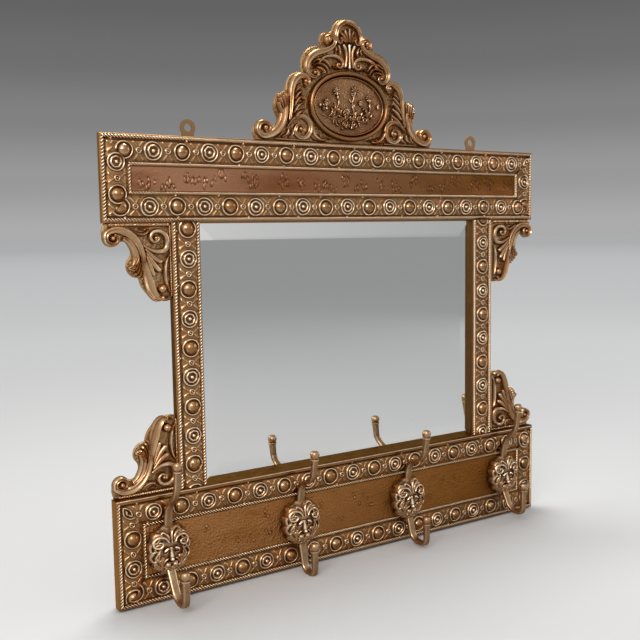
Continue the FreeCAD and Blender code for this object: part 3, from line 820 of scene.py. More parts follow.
@dataclass(frozen=True)
class SteelFinish:
    """Dull steel of the screws."""

    name: str = "dull_steel"
    light: Colour = (0.36, 0.34, 0.31)
    rust: Colour = (0.16, 0.08, 0.04)

    def material(self) -> bpy.types.Material:
        """Build the material from noise.

        Returns:
            The material.
        """
        tree = Surface(self.name)
        spots = tree.noise(700.0, 3.0)
        base = tree.mix(spots.rise(0.5, 0.72), self.light, self.rust)
        tree.bump(spots, 0.00005)
        return tree.finish(base_color=base, metallic=0.9, roughness=0.38 + 0.3 * spots.rise(0.5, 0.7))


# The right-end colours below are painted shade: the bodies darken towards the right, where less light falls.
PRESSED_BRASS = BrassFinish(
    "pressed_brass", (0.14, 0.07, 0.026), (0.38, 0.205, 0.088), (0.94, 0.74, 0.52), (0.37, 0.168, 0.068),
    sheen=0.17, dull=0.37, painted_right_shade=(0.24, 0.126, 0.055),
)
BASE_BRASS = BrassFinish(
    "base_brass", (0.125, 0.058, 0.019), (0.35, 0.178, 0.07), (0.88, 0.67, 0.45), (0.34, 0.142, 0.05),
    sheen=0.17, dull=0.37, painted_right_shade=(0.22, 0.108, 0.044),
)
SCROLL_BRASS = BrassFinish(
    "scroll_brass", (0.3, 0.192, 0.1), (0.54, 0.34, 0.184), (0.98, 0.82, 0.63), (0.44, 0.23, 0.105),
    sheen=0.18, dull=0.38, painted_right_shade=(0.36, 0.215, 0.112),
)
STIPPLED_BRASS = BrassFinish(
    "stippled_brass", (0.19, 0.115, 0.055), (0.48, 0.3, 0.15), (0.9, 0.72, 0.53), (0.31, 0.16, 0.07),
    sheen=0.3, dull=0.48, grain=0.0003, stipple=2.0,
)
HEADER_SHEET = BrassFinish(
    "header_sheet", (0.1, 0.038, 0.014), (0.5, 0.25, 0.14), (0.9, 0.64, 0.44), (0.27, 0.1, 0.038),
    sheen=0.26, dull=0.44, grain=0.00016, painted_right_shade=(0.16, 0.062, 0.012),
    streak=0.22, speckle=0.3, pitting=0.12,
)
BASE_SHEET = BrassFinish(
    "base_sheet", (0.13, 0.05, 0.013), (0.46, 0.21, 0.075), (0.84, 0.57, 0.32), (0.36, 0.15, 0.04),
    sheen=0.28, dull=0.46, grain=0.0005, painted_right_shade=(0.26, 0.102, 0.02),
    streak=0.35, speckle=0.55, pitting=0.34,
)
PLAQUE_BRASS = BrassFinish(
    "plaque_brass", (0.1, 0.055, 0.024), (0.32, 0.17, 0.082), (0.9, 0.72, 0.53), (0.24, 0.11, 0.05),
    sheen=0.22, dull=0.42, grain=0.0003, speckle=0.34, pitting=0.3,
)
CAST_BRASS = BrassFinish(
    "cast_brass", (0.2, 0.128, 0.07), (0.52, 0.335, 0.188), (0.98, 0.82, 0.62), (0.43, 0.245, 0.125),
    sheen=0.22, dull=0.42, painted_right_shade=(0.41, 0.258, 0.14),
)
EYE_BRASS = BrassFinish(
    "eye_brass", (0.34, 0.2, 0.1), (0.44, 0.27, 0.13), (0.78, 0.58, 0.36), (0.36, 0.2, 0.09),
    sheen=0.3, dull=0.44,
)
STAINED_WOOD = WoodFinish("stained_wood", (0.13, 0.062, 0.028), (0.045, 0.02, 0.009))
UPRIGHT_WOOD = replace(STAINED_WOOD, name="upright_wood", along=(1.0, 1.0, 0.06))
BACK_WOOD = WoodFinish("back_wood", (0.36, 0.21, 0.1), (0.19, 0.1, 0.045))


class Workshop:
    """Writes shells as Blender pieces and keeps one material for each finish."""

    def __init__(self) -> None:
        """Start with no materials made."""
        self._made: dict[str, bpy.types.Material] = {}

    def material(self, finish: Any) -> bpy.types.Material:
        """Material of a finish, built the first time that it is asked for.

        Args:
            finish: the finish.

        Returns:
            Its material.
        """
        if finish.name not in self._made:
            self._made[finish.name] = finish.material()
        return self._made[finish.name]

    def piece(self, name: str, shell: Shell, finish: Any, slot: Slot, nodes: Sequence[str] = (),
              sharp: float = 60.0) -> bpy.types.Object:
        """Write a shell as a piece that rides on the body.

        Args:
            name: name of the piece.
            shell: its mesh data in millimetres.
            finish: finish that dresses it.
            slot: material slot of the record; not used.
            nodes: CAD nodes that it stands for.
            sharp: angle in degrees above which an edge stays sharp.

        Returns:
            The piece.
        """
        mesh = bpy.data.meshes.new(name)
        place = shell.points * np.array([1.0, -1.0, 1.0]) * MILLIMETRE
        sides = np.concatenate([np.full(len(shell.faces), 4), [len(cap) for cap in shell.caps]])
        starts = np.concatenate([[0], np.cumsum(sides)[:-1]])
        corners = np.concatenate([shell.faces.reshape(-1), *shell.caps])
        mesh.vertices.add(len(place))
        mesh.vertices.foreach_set("co", place.astype(np.float32).reshape(-1))
        mesh.loops.add(len(corners))
        mesh.loops.foreach_set("vertex_index", corners.astype(np.int32))
        mesh.polygons.add(len(sides))
        mesh.polygons.foreach_set("loop_start", starts.astype(np.int32))
        mesh.update(calc_edges=True)
        # Per-point tone: rubbing, and on some pieces painted highlight and painted shade.
        wear_and_painted_light = mesh.attributes.new("wear_and_painted_light", "FLOAT", "POINT")
        wear_and_painted_light.data.foreach_set("value", shell.wear_and_painted_light.astype(np.float32))
        self._weld(mesh)
        mesh.validate()
        mesh.polygons.foreach_set("use_smooth", np.ones(len(mesh.polygons), bool))
        mesh.set_sharp_from_angle(angle=math.radians(sharp))
        mesh.materials.append(self.material(finish))
        piece = bpy.data.objects.new(name, mesh)
        bpy.context.scene.collection.objects.link(piece)
        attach(piece, BODY)
        if nodes:
            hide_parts(*nodes)
        log.info("%s: %d faces", name, len(mesh.polygons))
        return piece

    @staticmethod
    def _weld(mesh: bpy.types.Mesh) -> None:
        """Merge points that lie in one place, so that poles and caps close, and turn all faces outwards.

        Args:
            mesh: mesh that is changed.
        """
        work = bmesh.new()
        work.from_mesh(mesh)
        bmesh.ops.remove_doubles(work, verts=work.verts, dist=2e-6)
        bmesh.ops.recalc_face_normals(work, faces=work.faces)
        work.to_mesh(mesh)
        work.free()

    def dress(self, node: str, finish: Any) -> None:
        """Give a CAD node that stays its finish.

        Args:
            node: name of the node.
            finish: finish that dresses it.
        """
        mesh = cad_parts[node].data
        mesh.materials.clear()
        mesh.materials.append(self.material(finish))
        log.info("%s: kept with %s", node, finish.name)


# Pressed border strips: lines, radii and heights of their section, the lines in from the outer edge


EDGE_ROLL = 0.8
OUTER_ROPE = 3.0
OUTER_RADIUS = 1.7
PLAIN_ROLL = 2.6
INNER_RIB = 25.9
INNER_ROPE = 28.6
INNER_RADIUS = 1.75
BAND_HALF = 9.5
RING = 8.45
MOAT_DEPTH = 0.9
DOME = 6.6
DOME_RISE = 5.0
PIN_ROWS = ((5.2, 67.0, 0.0), (26.4, 59.0, 21.0))
CLOSE_LINES = (
    (0.0, 1.5, 4), (1.5, 4.4, 7), (4.4, 6.0, 3), (6.0, 25.0, 38), (25.0, 27.2, 4), (27.2, 30.2, 7),
    (30.2, STRIP_WIDTH, 2),
)


@dataclass(frozen=True)
class PressedStrip:
    """Border strip with edge roll, ropes and a row of domes and rosettes on a crowned band."""

    node: str
    along: tuple[int, int]
    inward: tuple[int, int]
    middle: tuple[float, float]
    length: float
    front: float
    fold: float
    end_fold: float
    skirt: float = 0.0
    mitred: bool = True
    shift: float = 0.0
    dome_first: bool = False
    roped: bool = True
    pitch: float = 30.0
    motif_line: float = 15.6
    strand: float = 3.2
    board_inset: float = 4.0
    lip: float = 0.0
    # Tone of the folded walls: plain rubbing by default, painted shade where a low value darkens walls beside
    # the glass.
    wall_wear_and_shade: float = PLAIN_WEAR
    finish: BrassFinish = PRESSED_BRASS
    step: float = 0.44
    seed: int = 1

    def build(self, shop: Workshop) -> bpy.types.Object:
        """Write the strip as a closed piece in place of its node.

        The section runs up the folded edge, over the relief, down the inner edge and back under the sheet, and
        is carried along the strip; at a mitre each line of it stops on the corner's diagonal.

        Args:
            shop: workshop that writes the piece.

        Returns:
            The piece.
        """
        share = np.linspace(-1.0, 1.0, int(self.length / self.step))
        outer = np.stack([np.full(3, -self.lip), np.linspace(-self.fold, 0.6, 3)], axis=1)
        edge = STRIP_WIDTH + (self.lip if self.skirt else 0.0)
        under = np.array([[edge, 0.6], [edge, -self.skirt], [SHEET, -self.skirt], [SHEET, -self.fold]])
        parts = [self._plain(share, outer), self._pressed(share), self._plain(share, under)]
        shell = self._closed(*(np.concatenate(kind, axis=1) for kind in zip(*parts)))
        name = self.node.replace("border", "pressing")
        return shop.piece(name, shell, self.finish, Slot.PRESSED, (self.node,), sharp=75.0)

    def _spans(self, share: Array, inward: Array) -> Array:
        """Distance along the strip at each share and each line, cut on the diagonal at a mitre."""
        return share[:, None] * (self.length / 2 - inward * self.mitred)[None, :]

    def _pressed(self, share: Array) -> tuple[Array, Array, Array, Array]:
        """Rows of the pressed front, brighter where the relief stands above its surroundings.

        Args:
            share: place of each row along the strip, from minus one to one.

        Returns:
            Along, inward, height and wear at every row and point.
        """
        lines = [np.linspace(low, high, count, endpoint=False) for low, high, count in CLOSE_LINES]
        across = np.append(np.concatenate(lines), STRIP_WIDTH)
        along = self._spans(share, across)
        inward = np.broadcast_to(across, along.shape)
        height = self._relief(along, inward)
        fine = height - blurred(height, 3, 3)
        broad = np.clip(height - blurred(height, 12, 9), -1.6, 0.8)
        # The ropes' strands add painted highlights on their ridges and painted shade in their grooves.
        wear_and_painted_light = np.clip(PLAIN_WEAR + 0.7 * fine + 0.08 * broad + self._painted_strand_light(along, inward), 0.02, 1.0)
        return along, inward, height, wear_and_painted_light

    def _plain(self, share: Array, section: Array) -> tuple[Array, Array, Array, Array]:
        """Rows of a plain part of the section, its fold cut back at both ends as deep as the next strip's.

        Args:
            share: place of each row along the strip, from minus one to one.
            section: inward and height of each of its points.

        Returns:
            Along, inward, height and wear at every row and point.
        """
        along = self._spans(share, section[:, 0])
        flat = np.ones_like(along)
        near_end = np.abs(along) > self.length / 2 - self.board_inset
        height = np.maximum(flat * section[:, 1], np.where(near_end, -self.end_fold, -self.fold))
        return along, flat * section[:, 0], height, self.wall_wear_and_shade * flat

    def _closed(self, along: Array, inward: Array, height: Array, wear_and_painted_light: Array) -> Shell:
        """Place the rows on the wall and close both ends on the middle of their sections.

        Args:
            along: distance along the strip at every row and point.
            inward: distance from the outer edge.
            height: height over the front.
            wear_and_painted_light: wear.

        Returns:
            The closed strip.
        """
        x_axis, z_axis = np.array(self.along, float), np.array(self.inward, float)
        flat = np.array(self.middle) + along[..., None] * x_axis + inward[..., None] * z_axis
        points = capped(np.stack([flat[..., 0], self.front + height, flat[..., 1]], axis=-1))
        wear_and_painted_light = np.concatenate([wear_and_painted_light[:1], wear_and_painted_light, wear_and_painted_light[-1:]])
        return Shell(points.reshape(-1, 3), grid_faces(*wear_and_painted_light.shape, wrap=True), wear_and_painted_light.reshape(-1))

    def _relief(self, along: Array, inward: Array) -> Array:
        """Height of the pressed relief: sheet, edge roll, two ropes, rib, pins and the band with its motifs.

        Args:
            along: distance along the strip at every row and point.
            inward: distance from the outer edge.

        Returns:
            Height over the front.
        """
        height = SHEET + 0.9 * half_round(inward - EDGE_ROLL, EDGE_ROLL)
        if self.roped:
            height = height + self._rope(along, inward - OUTER_ROPE, OUTER_RADIUS)
        else:
            height = height + 1.5 * half_round(inward - PLAIN_ROLL, 2.4)
        height = height + 0.8 * half_round(inward - INNER_RIB, 1.1)
        height = height + self._rope(along, inward - INNER_ROPE, INNER_RADIUS)
        offset = inward - self.motif_line
        band = half_round(offset, BAND_HALF)
        height = height + 2.5 * band**0.9 + self._motifs(along, offset) * smoothstep(band, 0.0, 0.3)
        height = np.maximum(height, SHEET + self._pins(along, inward))
        wave = 0.16 * np.sin(along / 21.0 + self.seed) + 0.1 * np.sin(along / 7.3 + 2.0 * self.seed)
        return height + wave * smoothstep(inward, 0.0, 4.0) * smoothstep(STRIP_WIDTH - inward, 0.0, 4.0)

    def _strand(self, along: Array, offset: Array) -> Array:
        """Share of a strand's height: one on its ridge, nothing in the slanting groove beside it."""
        return np.abs(np.cos(math.pi * (along / self.strand + 0.3 * offset)))

    def _rope(self, along: Array, offset: Array, radius: float) -> Array:
        """Half-round bar cut by slanting grooves between its strands."""
        return 1.5 * radius * half_round(offset, radius) * (0.2 + 0.8 * self._strand(along, offset) ** 0.75)

    def _painted_strand_light(self, along: Array, inward: Array) -> Array:
        """Painted highlight that the strands of the ropes add on their ridges, and painted shade in their
        grooves.

        Args:
            along: distance along the strip at every row and point.
            inward: distance from the outer edge.

        Returns:
            Painted highlight and shade to add.
        """
        ropes = ((INNER_ROPE, INNER_RADIUS), (OUTER_ROPE, OUTER_RADIUS))[: 2 if self.roped else 1]
        return sum(1.1 * (np.abs(inward - line) < radius) * (self._strand(along, inward - line) - 0.5)
                   for line, radius in ropes)

    def _pins(self, along: Array, inward: Array) -> Array:
        """Heads of the pins that hold the strip, at loose steps beside both ropes.

        Args:
            along: distance along the strip at every row and point.
            inward: distance from the outer edge.

        Returns:
            Height of the heads over the sheet.
        """
        rise = np.zeros_like(along)
        for line, spacing, start in PIN_ROWS:
            number = np.rint((along - start) / spacing)
            near = along - start - number * spacing - 7.0 * np.sin(2.4 * number + self.seed)
            rise = np.maximum(rise, 1.9 * half_round(np.hypot(near, inward - line), 1.45))
        return rise

    def _motifs(self, along: Array, offset: Array) -> Array:
        """Domes and rosettes by turns, each in a ring, with a ring bead and four leaf ribs between two of them.

        A dome is part of a sphere, and a rosette is a knob in a wavy half-round ring.

        Args:
            along: distance along the strip at every row and point.
            offset: distance from the row's middle line.

        Returns:
            Height over the band.
        """
        count = int(self.length / self.pitch) + 6
        loose = np.random.default_rng(self.seed)
        slip = loose.uniform(-0.45, 0.45, (2, count))
        girth = loose.uniform(0.95, 1.05, count)
        number = np.rint(along / self.pitch - self.shift).astype(int)
        index = number + count // 2
        middle = along - (number + self.shift) * self.pitch
        near, side = middle - slip[0][index], offset - slip[1][index]
        reach = np.hypot(near, side) / girth[index]
        turn = np.arctan2(side, near)
        is_dome = (number % 2 == 0) == self.dome_first
        ring = 1.5 * half_round(reach - RING, 0.95)
        moat = -MOAT_DEPTH * (1.0 - smoothstep(reach, 7.4, 8.6))
        sphere = (DOME**2 + DOME_RISE**2) / (2 * DOME_RISE)
        dome = np.sqrt(np.clip(sphere**2 - reach**2, 0.0, None)) - (sphere - DOME_RISE)
        dome = np.where(reach < DOME, dome, -MOAT_DEPTH)
        swirl = reach + 0.16 * np.cos(7.0 * turn + 2.0 * number) + 0.25 * np.sin(turn + number) - 5.1
        rosette = np.maximum(2.3 * half_round(swirl, 1.2), 3.3 * half_round(reach, 2.3) - 0.2)
        boss = np.maximum(np.where(is_dome, dome, rosette - 0.4), moat)
        gap = self.pitch / 2 - np.abs(middle)
        bead = np.hypot(gap, offset)
        small = np.maximum(1.2 * half_round(bead - 2.4, 0.8), 1.1 * half_round(bead, 1.0))
        between = np.maximum(small, self._rib(gap, np.abs(offset)))
        return np.maximum(ring, np.where(reach < RING, boss, between))

    @staticmethod
    def _rib(gap: Array, side: Array) -> Array:
        """Leaf rib: a tapering half-round along the line from the ring bead out to the band's edge.

        Args:
            gap: distance along from the bead.
            side: distance from the row's middle line.

        Returns:
            Height over the band.
        """
        start, end = np.array([0.8, 3.6]), np.array([4.4, 8.4])
        line = end - start
        share = ((gap - start[0]) * line[0] + (side - start[1]) * line[1]) / (line @ line)
        share = np.clip(share, 0.0, 1.0)
        away = np.hypot(gap - start[0] - share * line[0], side - start[1] - share * line[1])
        return 0.75 * half_round(away / (0.5 + 0.8 * share), 1.0)


@dataclass(frozen=True)
class BorderFrame:
    """All the pressed strips of the header, the base rail and the stiles."""

    header_height: float = HEADER_TOP - HEADER_BOTTOM
    base_height: float = BASE_TOP - BASE_BOTTOM
    opening_height: float = HEADER_BOTTOM - BASE_TOP
    header_fold: float = 4.5
    stile_fold: float = 7.0
    base_fold: float = 9.5
    bevel_gap: float = 1.1
    lip: float = 0.25

    def strips(self) -> list[PressedStrip]:
        """The ten strips with their places, folds and first motifs.

        Returns:
            The strips in the order in which they are written.
        """
        width = 2 * HALF_FRAME
        header_middle = (HEADER_TOP + HEADER_BOTTOM) / 2
        base_middle = (BASE_TOP + BASE_BOTTOM) / 2
        opening_middle = (HEADER_BOTTOM + BASE_TOP) / 2
        top, bottom = ((-1, 0), (0, -1)), ((1, 0), (0, 1))
        left, right = ((0, -1), (1, 0)), ((0, 1), (-1, 0))
        ledge = HEADER_FRONT - GLASS_FRONT + self.bevel_gap
        base_ledge = BASE_FRONT - GLASS_FRONT + self.bevel_gap
        header = {"front": HEADER_FRONT, "end_fold": self.header_fold}
        header_side = {**header, "length": self.header_height, "fold": self.header_fold}
        base = {"front": BASE_FRONT, "end_fold": self.base_fold, "finish": BASE_BRASS}
        base_side = {**base, "length": self.base_height, "fold": self.base_fold, "dome_first": True}
        # The stiles' folded walls, the inner ones beside the glass among them, are darkened as painted shade
        # for a shadow gap.
        stile = {"length": self.opening_height, "front": HEADER_FRONT, "fold": self.stile_fold,
                 "end_fold": self.stile_fold, "mitred": False, "skirt": ledge, "lip": self.lip,
                 "wall_wear_and_shade": 0.12, "motif_line": 16.4}
        return [
            PressedStrip("header_top_border", *top, (0, HEADER_TOP), width, **header, fold=HEADER_FRONT,
                         shift=-0.24, seed=11),
            PressedStrip("header_bottom_border", *bottom, (0, HEADER_BOTTOM), width, **header, fold=ledge,
                         lip=self.lip, shift=-0.15, pitch=29.28, seed=12),
            PressedStrip("header_left_border", *left, (-HALF_FRAME, header_middle), **header_side,
                         shift=-0.5, seed=13),
            PressedStrip("header_right_border", *right, (HALF_FRAME, header_middle), **header_side,
                         shift=0.16, seed=14),
            # The folded walls of the base's top strip, its ledge under the glass among them, are darkened as
            # painted shade.
            PressedStrip("base_top_border", *top, (0, BASE_TOP), width, **base, fold=base_ledge,
                         lip=self.lip, wall_wear_and_shade=0.22, shift=0.168, pitch=30.36, roped=False, seed=15),
            PressedStrip("base_bottom_border", *bottom, (0, BASE_BOTTOM), width, **base, fold=BASE_FRONT,
                         seed=16),
            PressedStrip("base_left_border", *left, (-HALF_FRAME, base_middle), **base_side,
                         shift=-0.5, seed=17),
            PressedStrip("base_right_border", *right, (HALF_FRAME, base_middle), **base_side,
                         shift=0.22, seed=18),
            PressedStrip("left_stile_border", *left, (-STILE_EDGE, opening_middle), **stile,
                         shift=-0.29, dome_first=True, seed=19),
            PressedStrip("right_stile_border", *right, (STILE_EDGE, opening_middle), **stile,
                         shift=-0.42, seed=20),
        ]

    def build(self, shop: Workshop) -> None:
        """Write every strip."""
        for strip in self.strips():
            strip.build(shop)


# Crest: rows of path, half widths and rise for its right half, and bosses as across, up, radius and rise


CREST_SCROLLS = (
    (((91, 47.5), (86.5, 45.5), (84, 39), (83.6, 30), (86, 20), (92, 11.5), (101, 6), (110, 5), (115.6, 10.5),
      (113, 17.3), (106, 18.6), (101, 14.4), (103.4, 9.6), (107.6, 11.4)),
     (1.6, 4, 5, 5.2, 5, 4.6, 4, 3.6, 3.2, 3, 2.6, 2.2, 2, 1.8), 6.0),
    (((78, 21), (75.6, 33), (74.4, 45), (73.4, 55), (69.4, 64.4), (62.6, 69.6), (55.8, 69.4), (52.4, 64.6),
      (55, 60.6), (58.6, 62.4)),
     (1.4, 2.4, 3, 3.6, 4, 3.8, 3.2, 2.6, 2, 1.7), 6.0),
    (((80, 15.5), (71, 24), (61, 27), (52.4, 22), (51, 13), (56, 6), (64, 4.6), (70.4, 9.8), (68.4, 16.6),
      (62.6, 18), (59.4, 13.4), (63, 10.6)),
     (1.2, 2.2, 3, 3.4, 3.4, 3, 2.7, 2.5, 2.3, 2, 1.8, 1.6), 5.6),
    (((42.4, 77), (40.4, 72.4), (45, 69.6), (51.4, 72), (54.4, 79.8), (51, 88), (42.4, 95), (31, 98.8),
      (22, 103.4), (18, 109.6), (22, 114.4), (28.4, 112.8), (28.2, 107.2), (24.6, 107.6)),
     (1.6, 2, 2.4, 3, 3.6, 4, 4, 3.6, 3, 2.7, 2.5, 2.3, 2, 1.7), 6.2),
)
CREST_RODS = (
    (((40, 84), (33, 91), (22, 94), (12, 92.4), (7.6, 87), (10.4, 82), (15.6, 83.4), (14.6, 87.6)),
     (1.2, 2, 2.5, 2.6, 2.3, 2, 1.7, 1.4), 5.0),
    (((5.6, 81.6), (3.8, 92), (4.6, 101), (8, 108)), (2.2, 1.9, 2, 2.2), 5.8),
    (((96, 2.2), (70, 2), (48, 2)), (1.2, 1.2, 1.2), 2.2),
)
CREST_LEAVES = (
    (((72.6, 23), (66, 30), (57.4, 34.6)), (1.3, 2.9, 1.7), 5.6),
    (((72.4, 29), (66.6, 37.4), (58.6, 42)), (1.3, 2.9, 1.7), 5.6),
    (((72, 36), (66.6, 44.4), (59.4, 49)), (1.3, 2.8, 1.7), 5.6),
    (((71.4, 43.6), (66, 50.4), (60, 54.6)), (1.2, 2.6, 1.6), 5.4),
    (((70.6, 50.6), (65.6, 56), (60.6, 59)), (1.1, 2.2, 1.5), 5.2),
    (((86.6, 28), (89.4, 36), (91, 40.4)), (1.3, 2.2, 1.5), 6.6),
    (((85.4, 32), (87.6, 41), (89.6, 45)), (1.3, 2.4, 1.5), 7.0),
    (((83.6, 34), (85, 43.6), (86.6, 48)), (1.3, 2.4, 1.5), 7.0),
    (((81.6, 35), (81.8, 45), (82.6, 49.8)), (1.3, 2.2, 1.5), 6.6),
    (((80, 37), (78.8, 45), (78.8, 49.4)), (1.1, 1.9, 1.3), 6.0),
    (((47, 85), (39, 89), (30.6, 87.4), (24, 80)), (1.1, 2.4, 2.4, 1.4), 5.6),
    (((47, 81.6), (39, 84.6), (31.6, 82.6), (27, 76.6)), (1.1, 2.2, 2.2, 1.3), 5.4),
    (((47, 78.4), (40, 80.4), (34, 78.6), (30.6, 74)), (1, 2, 2, 1.2), 5.0),
    (((12.4, 94.6), (11.4, 100), (14.4, 107)), (1.2, 2.1, 1.4), 4.8),
    (((17.6, 97), (16, 101.6), (17.4, 105.6)), (1, 1.8, 1.1), 4.4),
    (((49, 17), (46, 8.6), (39, 3.8), (30, 3)), (1.4, 2.9, 2.7, 1.5), 5.4),
    (((51, 9), (44.6, 3.6), (36, 6.4)), (1.2, 1.9, 1.2), 4.2),
    (((79, 3.6), (73.4, 8), (74, 14)), (1.4, 2.3, 1.4), 4.8),
    (((87, 4), (80.6, 8), (79, 14)), (1.4, 2.3, 1.4), 4.8),
    (((94.6, 2.4), (88, 6.6), (85.6, 12)), (1.2, 2.0, 1.2), 4.4),
    (((57.4, 57.4), (52.6, 62.4), (47.4, 66.4)), (1.1, 2.0, 1.2), 4.6),
    (((39.6, 70.6), (34, 74.4), (27.4, 77)), (1.1, 1.9, 1.2), 4.4),
    (((26, 81), (20.4, 82.4), (15, 80.6)), (1, 1.8, 1), 4.2),
    (((57.6, 36), (59.6, 30), (57.4, 25.6)), (1, 1.7, 1), 4.0),
    (((56.4, 44), (60.4, 47), (61.4, 52)), (1, 1.7, 1), 4.2),
    (((42, 9.6), (34, 5.6), (24, 4.4)), (1, 1.9, 1), 4.2),
    (((76.6, 26), (79.4, 33), (78.4, 40)), (1, 1.8, 1), 5.0),
    (((62, 62), (66, 58), (68.4, 52)), (1, 1.7, 1), 4.6),
    (((3, 108.6), (7, 112.6), (11.6, 113.6)), (1, 1.9, 1.5), 5.4),
    (((2.6, 109), (6.6, 116), (11, 119.4)), (1, 2.0, 1.7), 5.8),
    (((1.6, 109.4), (3.8, 118), (6.4, 123.4)), (1, 2.0, 1.7), 6.2),
)
CREST_BOSSES = (
    (106.6, 13.0, 3.4, 6.4), (25.2, 110.6, 3.6, 6.6), (56.4, 64.2, 3.0, 6.2), (63.6, 13.6, 2.9, 5.8),
    (44.6, 74.4, 2.5, 5.8), (12.6, 85.6, 2.2, 5.0),
)


@dataclass(frozen=True)
class Crest:
    """Crest over the header: stippled ground with scrolls, leaves, shell and stem on it."""

    width: float = 240.0
    height: float = 135.0
    back: float = 7.8
    ground: float = 10.0
    foot_share: float = 0.975
    arc_shares: Arcs = (
        ((1.0, 0.085), (0.9, 0.155)), ((0.845, 0.15), (0.805, 0.115)), ((0.76, 0.145), (0.765, 0.2)),
        ((0.79, 0.29), (0.735, 0.375)), ((0.69, 0.385), (0.66, 0.425)), ((0.61, 0.515), (0.495, 0.55)),
        ((0.475, 0.685), (0.285, 0.765)), ((0.295, 0.84), (0.225, 0.88)), ((0.185, 0.885), (0.165, 0.9)),
        ((0.115, 0.97), (0, 1)),
    )

    def half_strokes(self) -> list[Stroke]:
        """Scrolls and leaves of the right half, across from the middle and up from the header."""
        return (strokes_of(Profile.FLUTED, CREST_SCROLLS) + strokes_of(Profile.ROUND, CREST_RODS)
                + strokes_of(Profile.LEAF, CREST_LEAVES))

    def middle_strokes(self) -> list[Stroke]:
        """Strokes on the middle line: the shell's hood, its middle rib and the stem.

        Returns:
            The strokes.
        """
        hood = [(11.6, 114.6), (8.8, 112), (11, 109), (14.6, 110.6), (16.4, 117), (13.6, 125), (7, 130.2),
                (0, 131.8)]
        whole = hood + [(-across, up) for across, up in hood[-2::-1]]
        widths = (1.4, 1.6, 1.9, 2.3, 2.7, 2.9, 3, 3)
        return [
            Stroke(whole, widths + widths[-2::-1], 6.4, Profile.FLUTED),
            Stroke([(0, 109), (0, 118), (0, 125.6)], (1.1, 2.0, 1.7), 6.6, Profile.LEAF),
            Stroke([(0, 80), (0, 93), (0, 104), (0, 109)], (2.2, 1.9, 2, 2.3), 6.2),
        ]

    def outline(self) -> Array:
        """Edge of the crest, against the clock from its right foot: a chain of arcs and its mirror image."""
        right = arc_chain(self.foot_share, self.arc_shares, (self.width / 2, self.height))
        return np.concatenate([right, right[-2::-1] * np.array([-1.0, 1.0])])

    def build(self, shop: Workshop) -> None:
        """Write the ground in place of the crest skin, and the scrolls on it.

        Args:
            shop: workshop that writes the pieces.
        """
        ground = outlined_plate(self.outline(), self.back, self.ground).moved(0, 0, HEADER_TOP)
        shop.piece("crest_ground", ground, STIPPLED_BRASS, Slot.PRESSED, ("crest_skin",), sharp=40.0)
        half = ornament(self.half_strokes(), CREST_BOSSES, self.ground)
        other = [shell.mirrored(True, False) for shell in half]
        whole = worn_ornament(half + other + ornament(self.middle_strokes(), (), self.ground))
        shop.piece("crest_scrolls", whole.moved(0, 0, HEADER_TOP), SCROLL_BRASS, Slot.PRESSED)


# Medallion


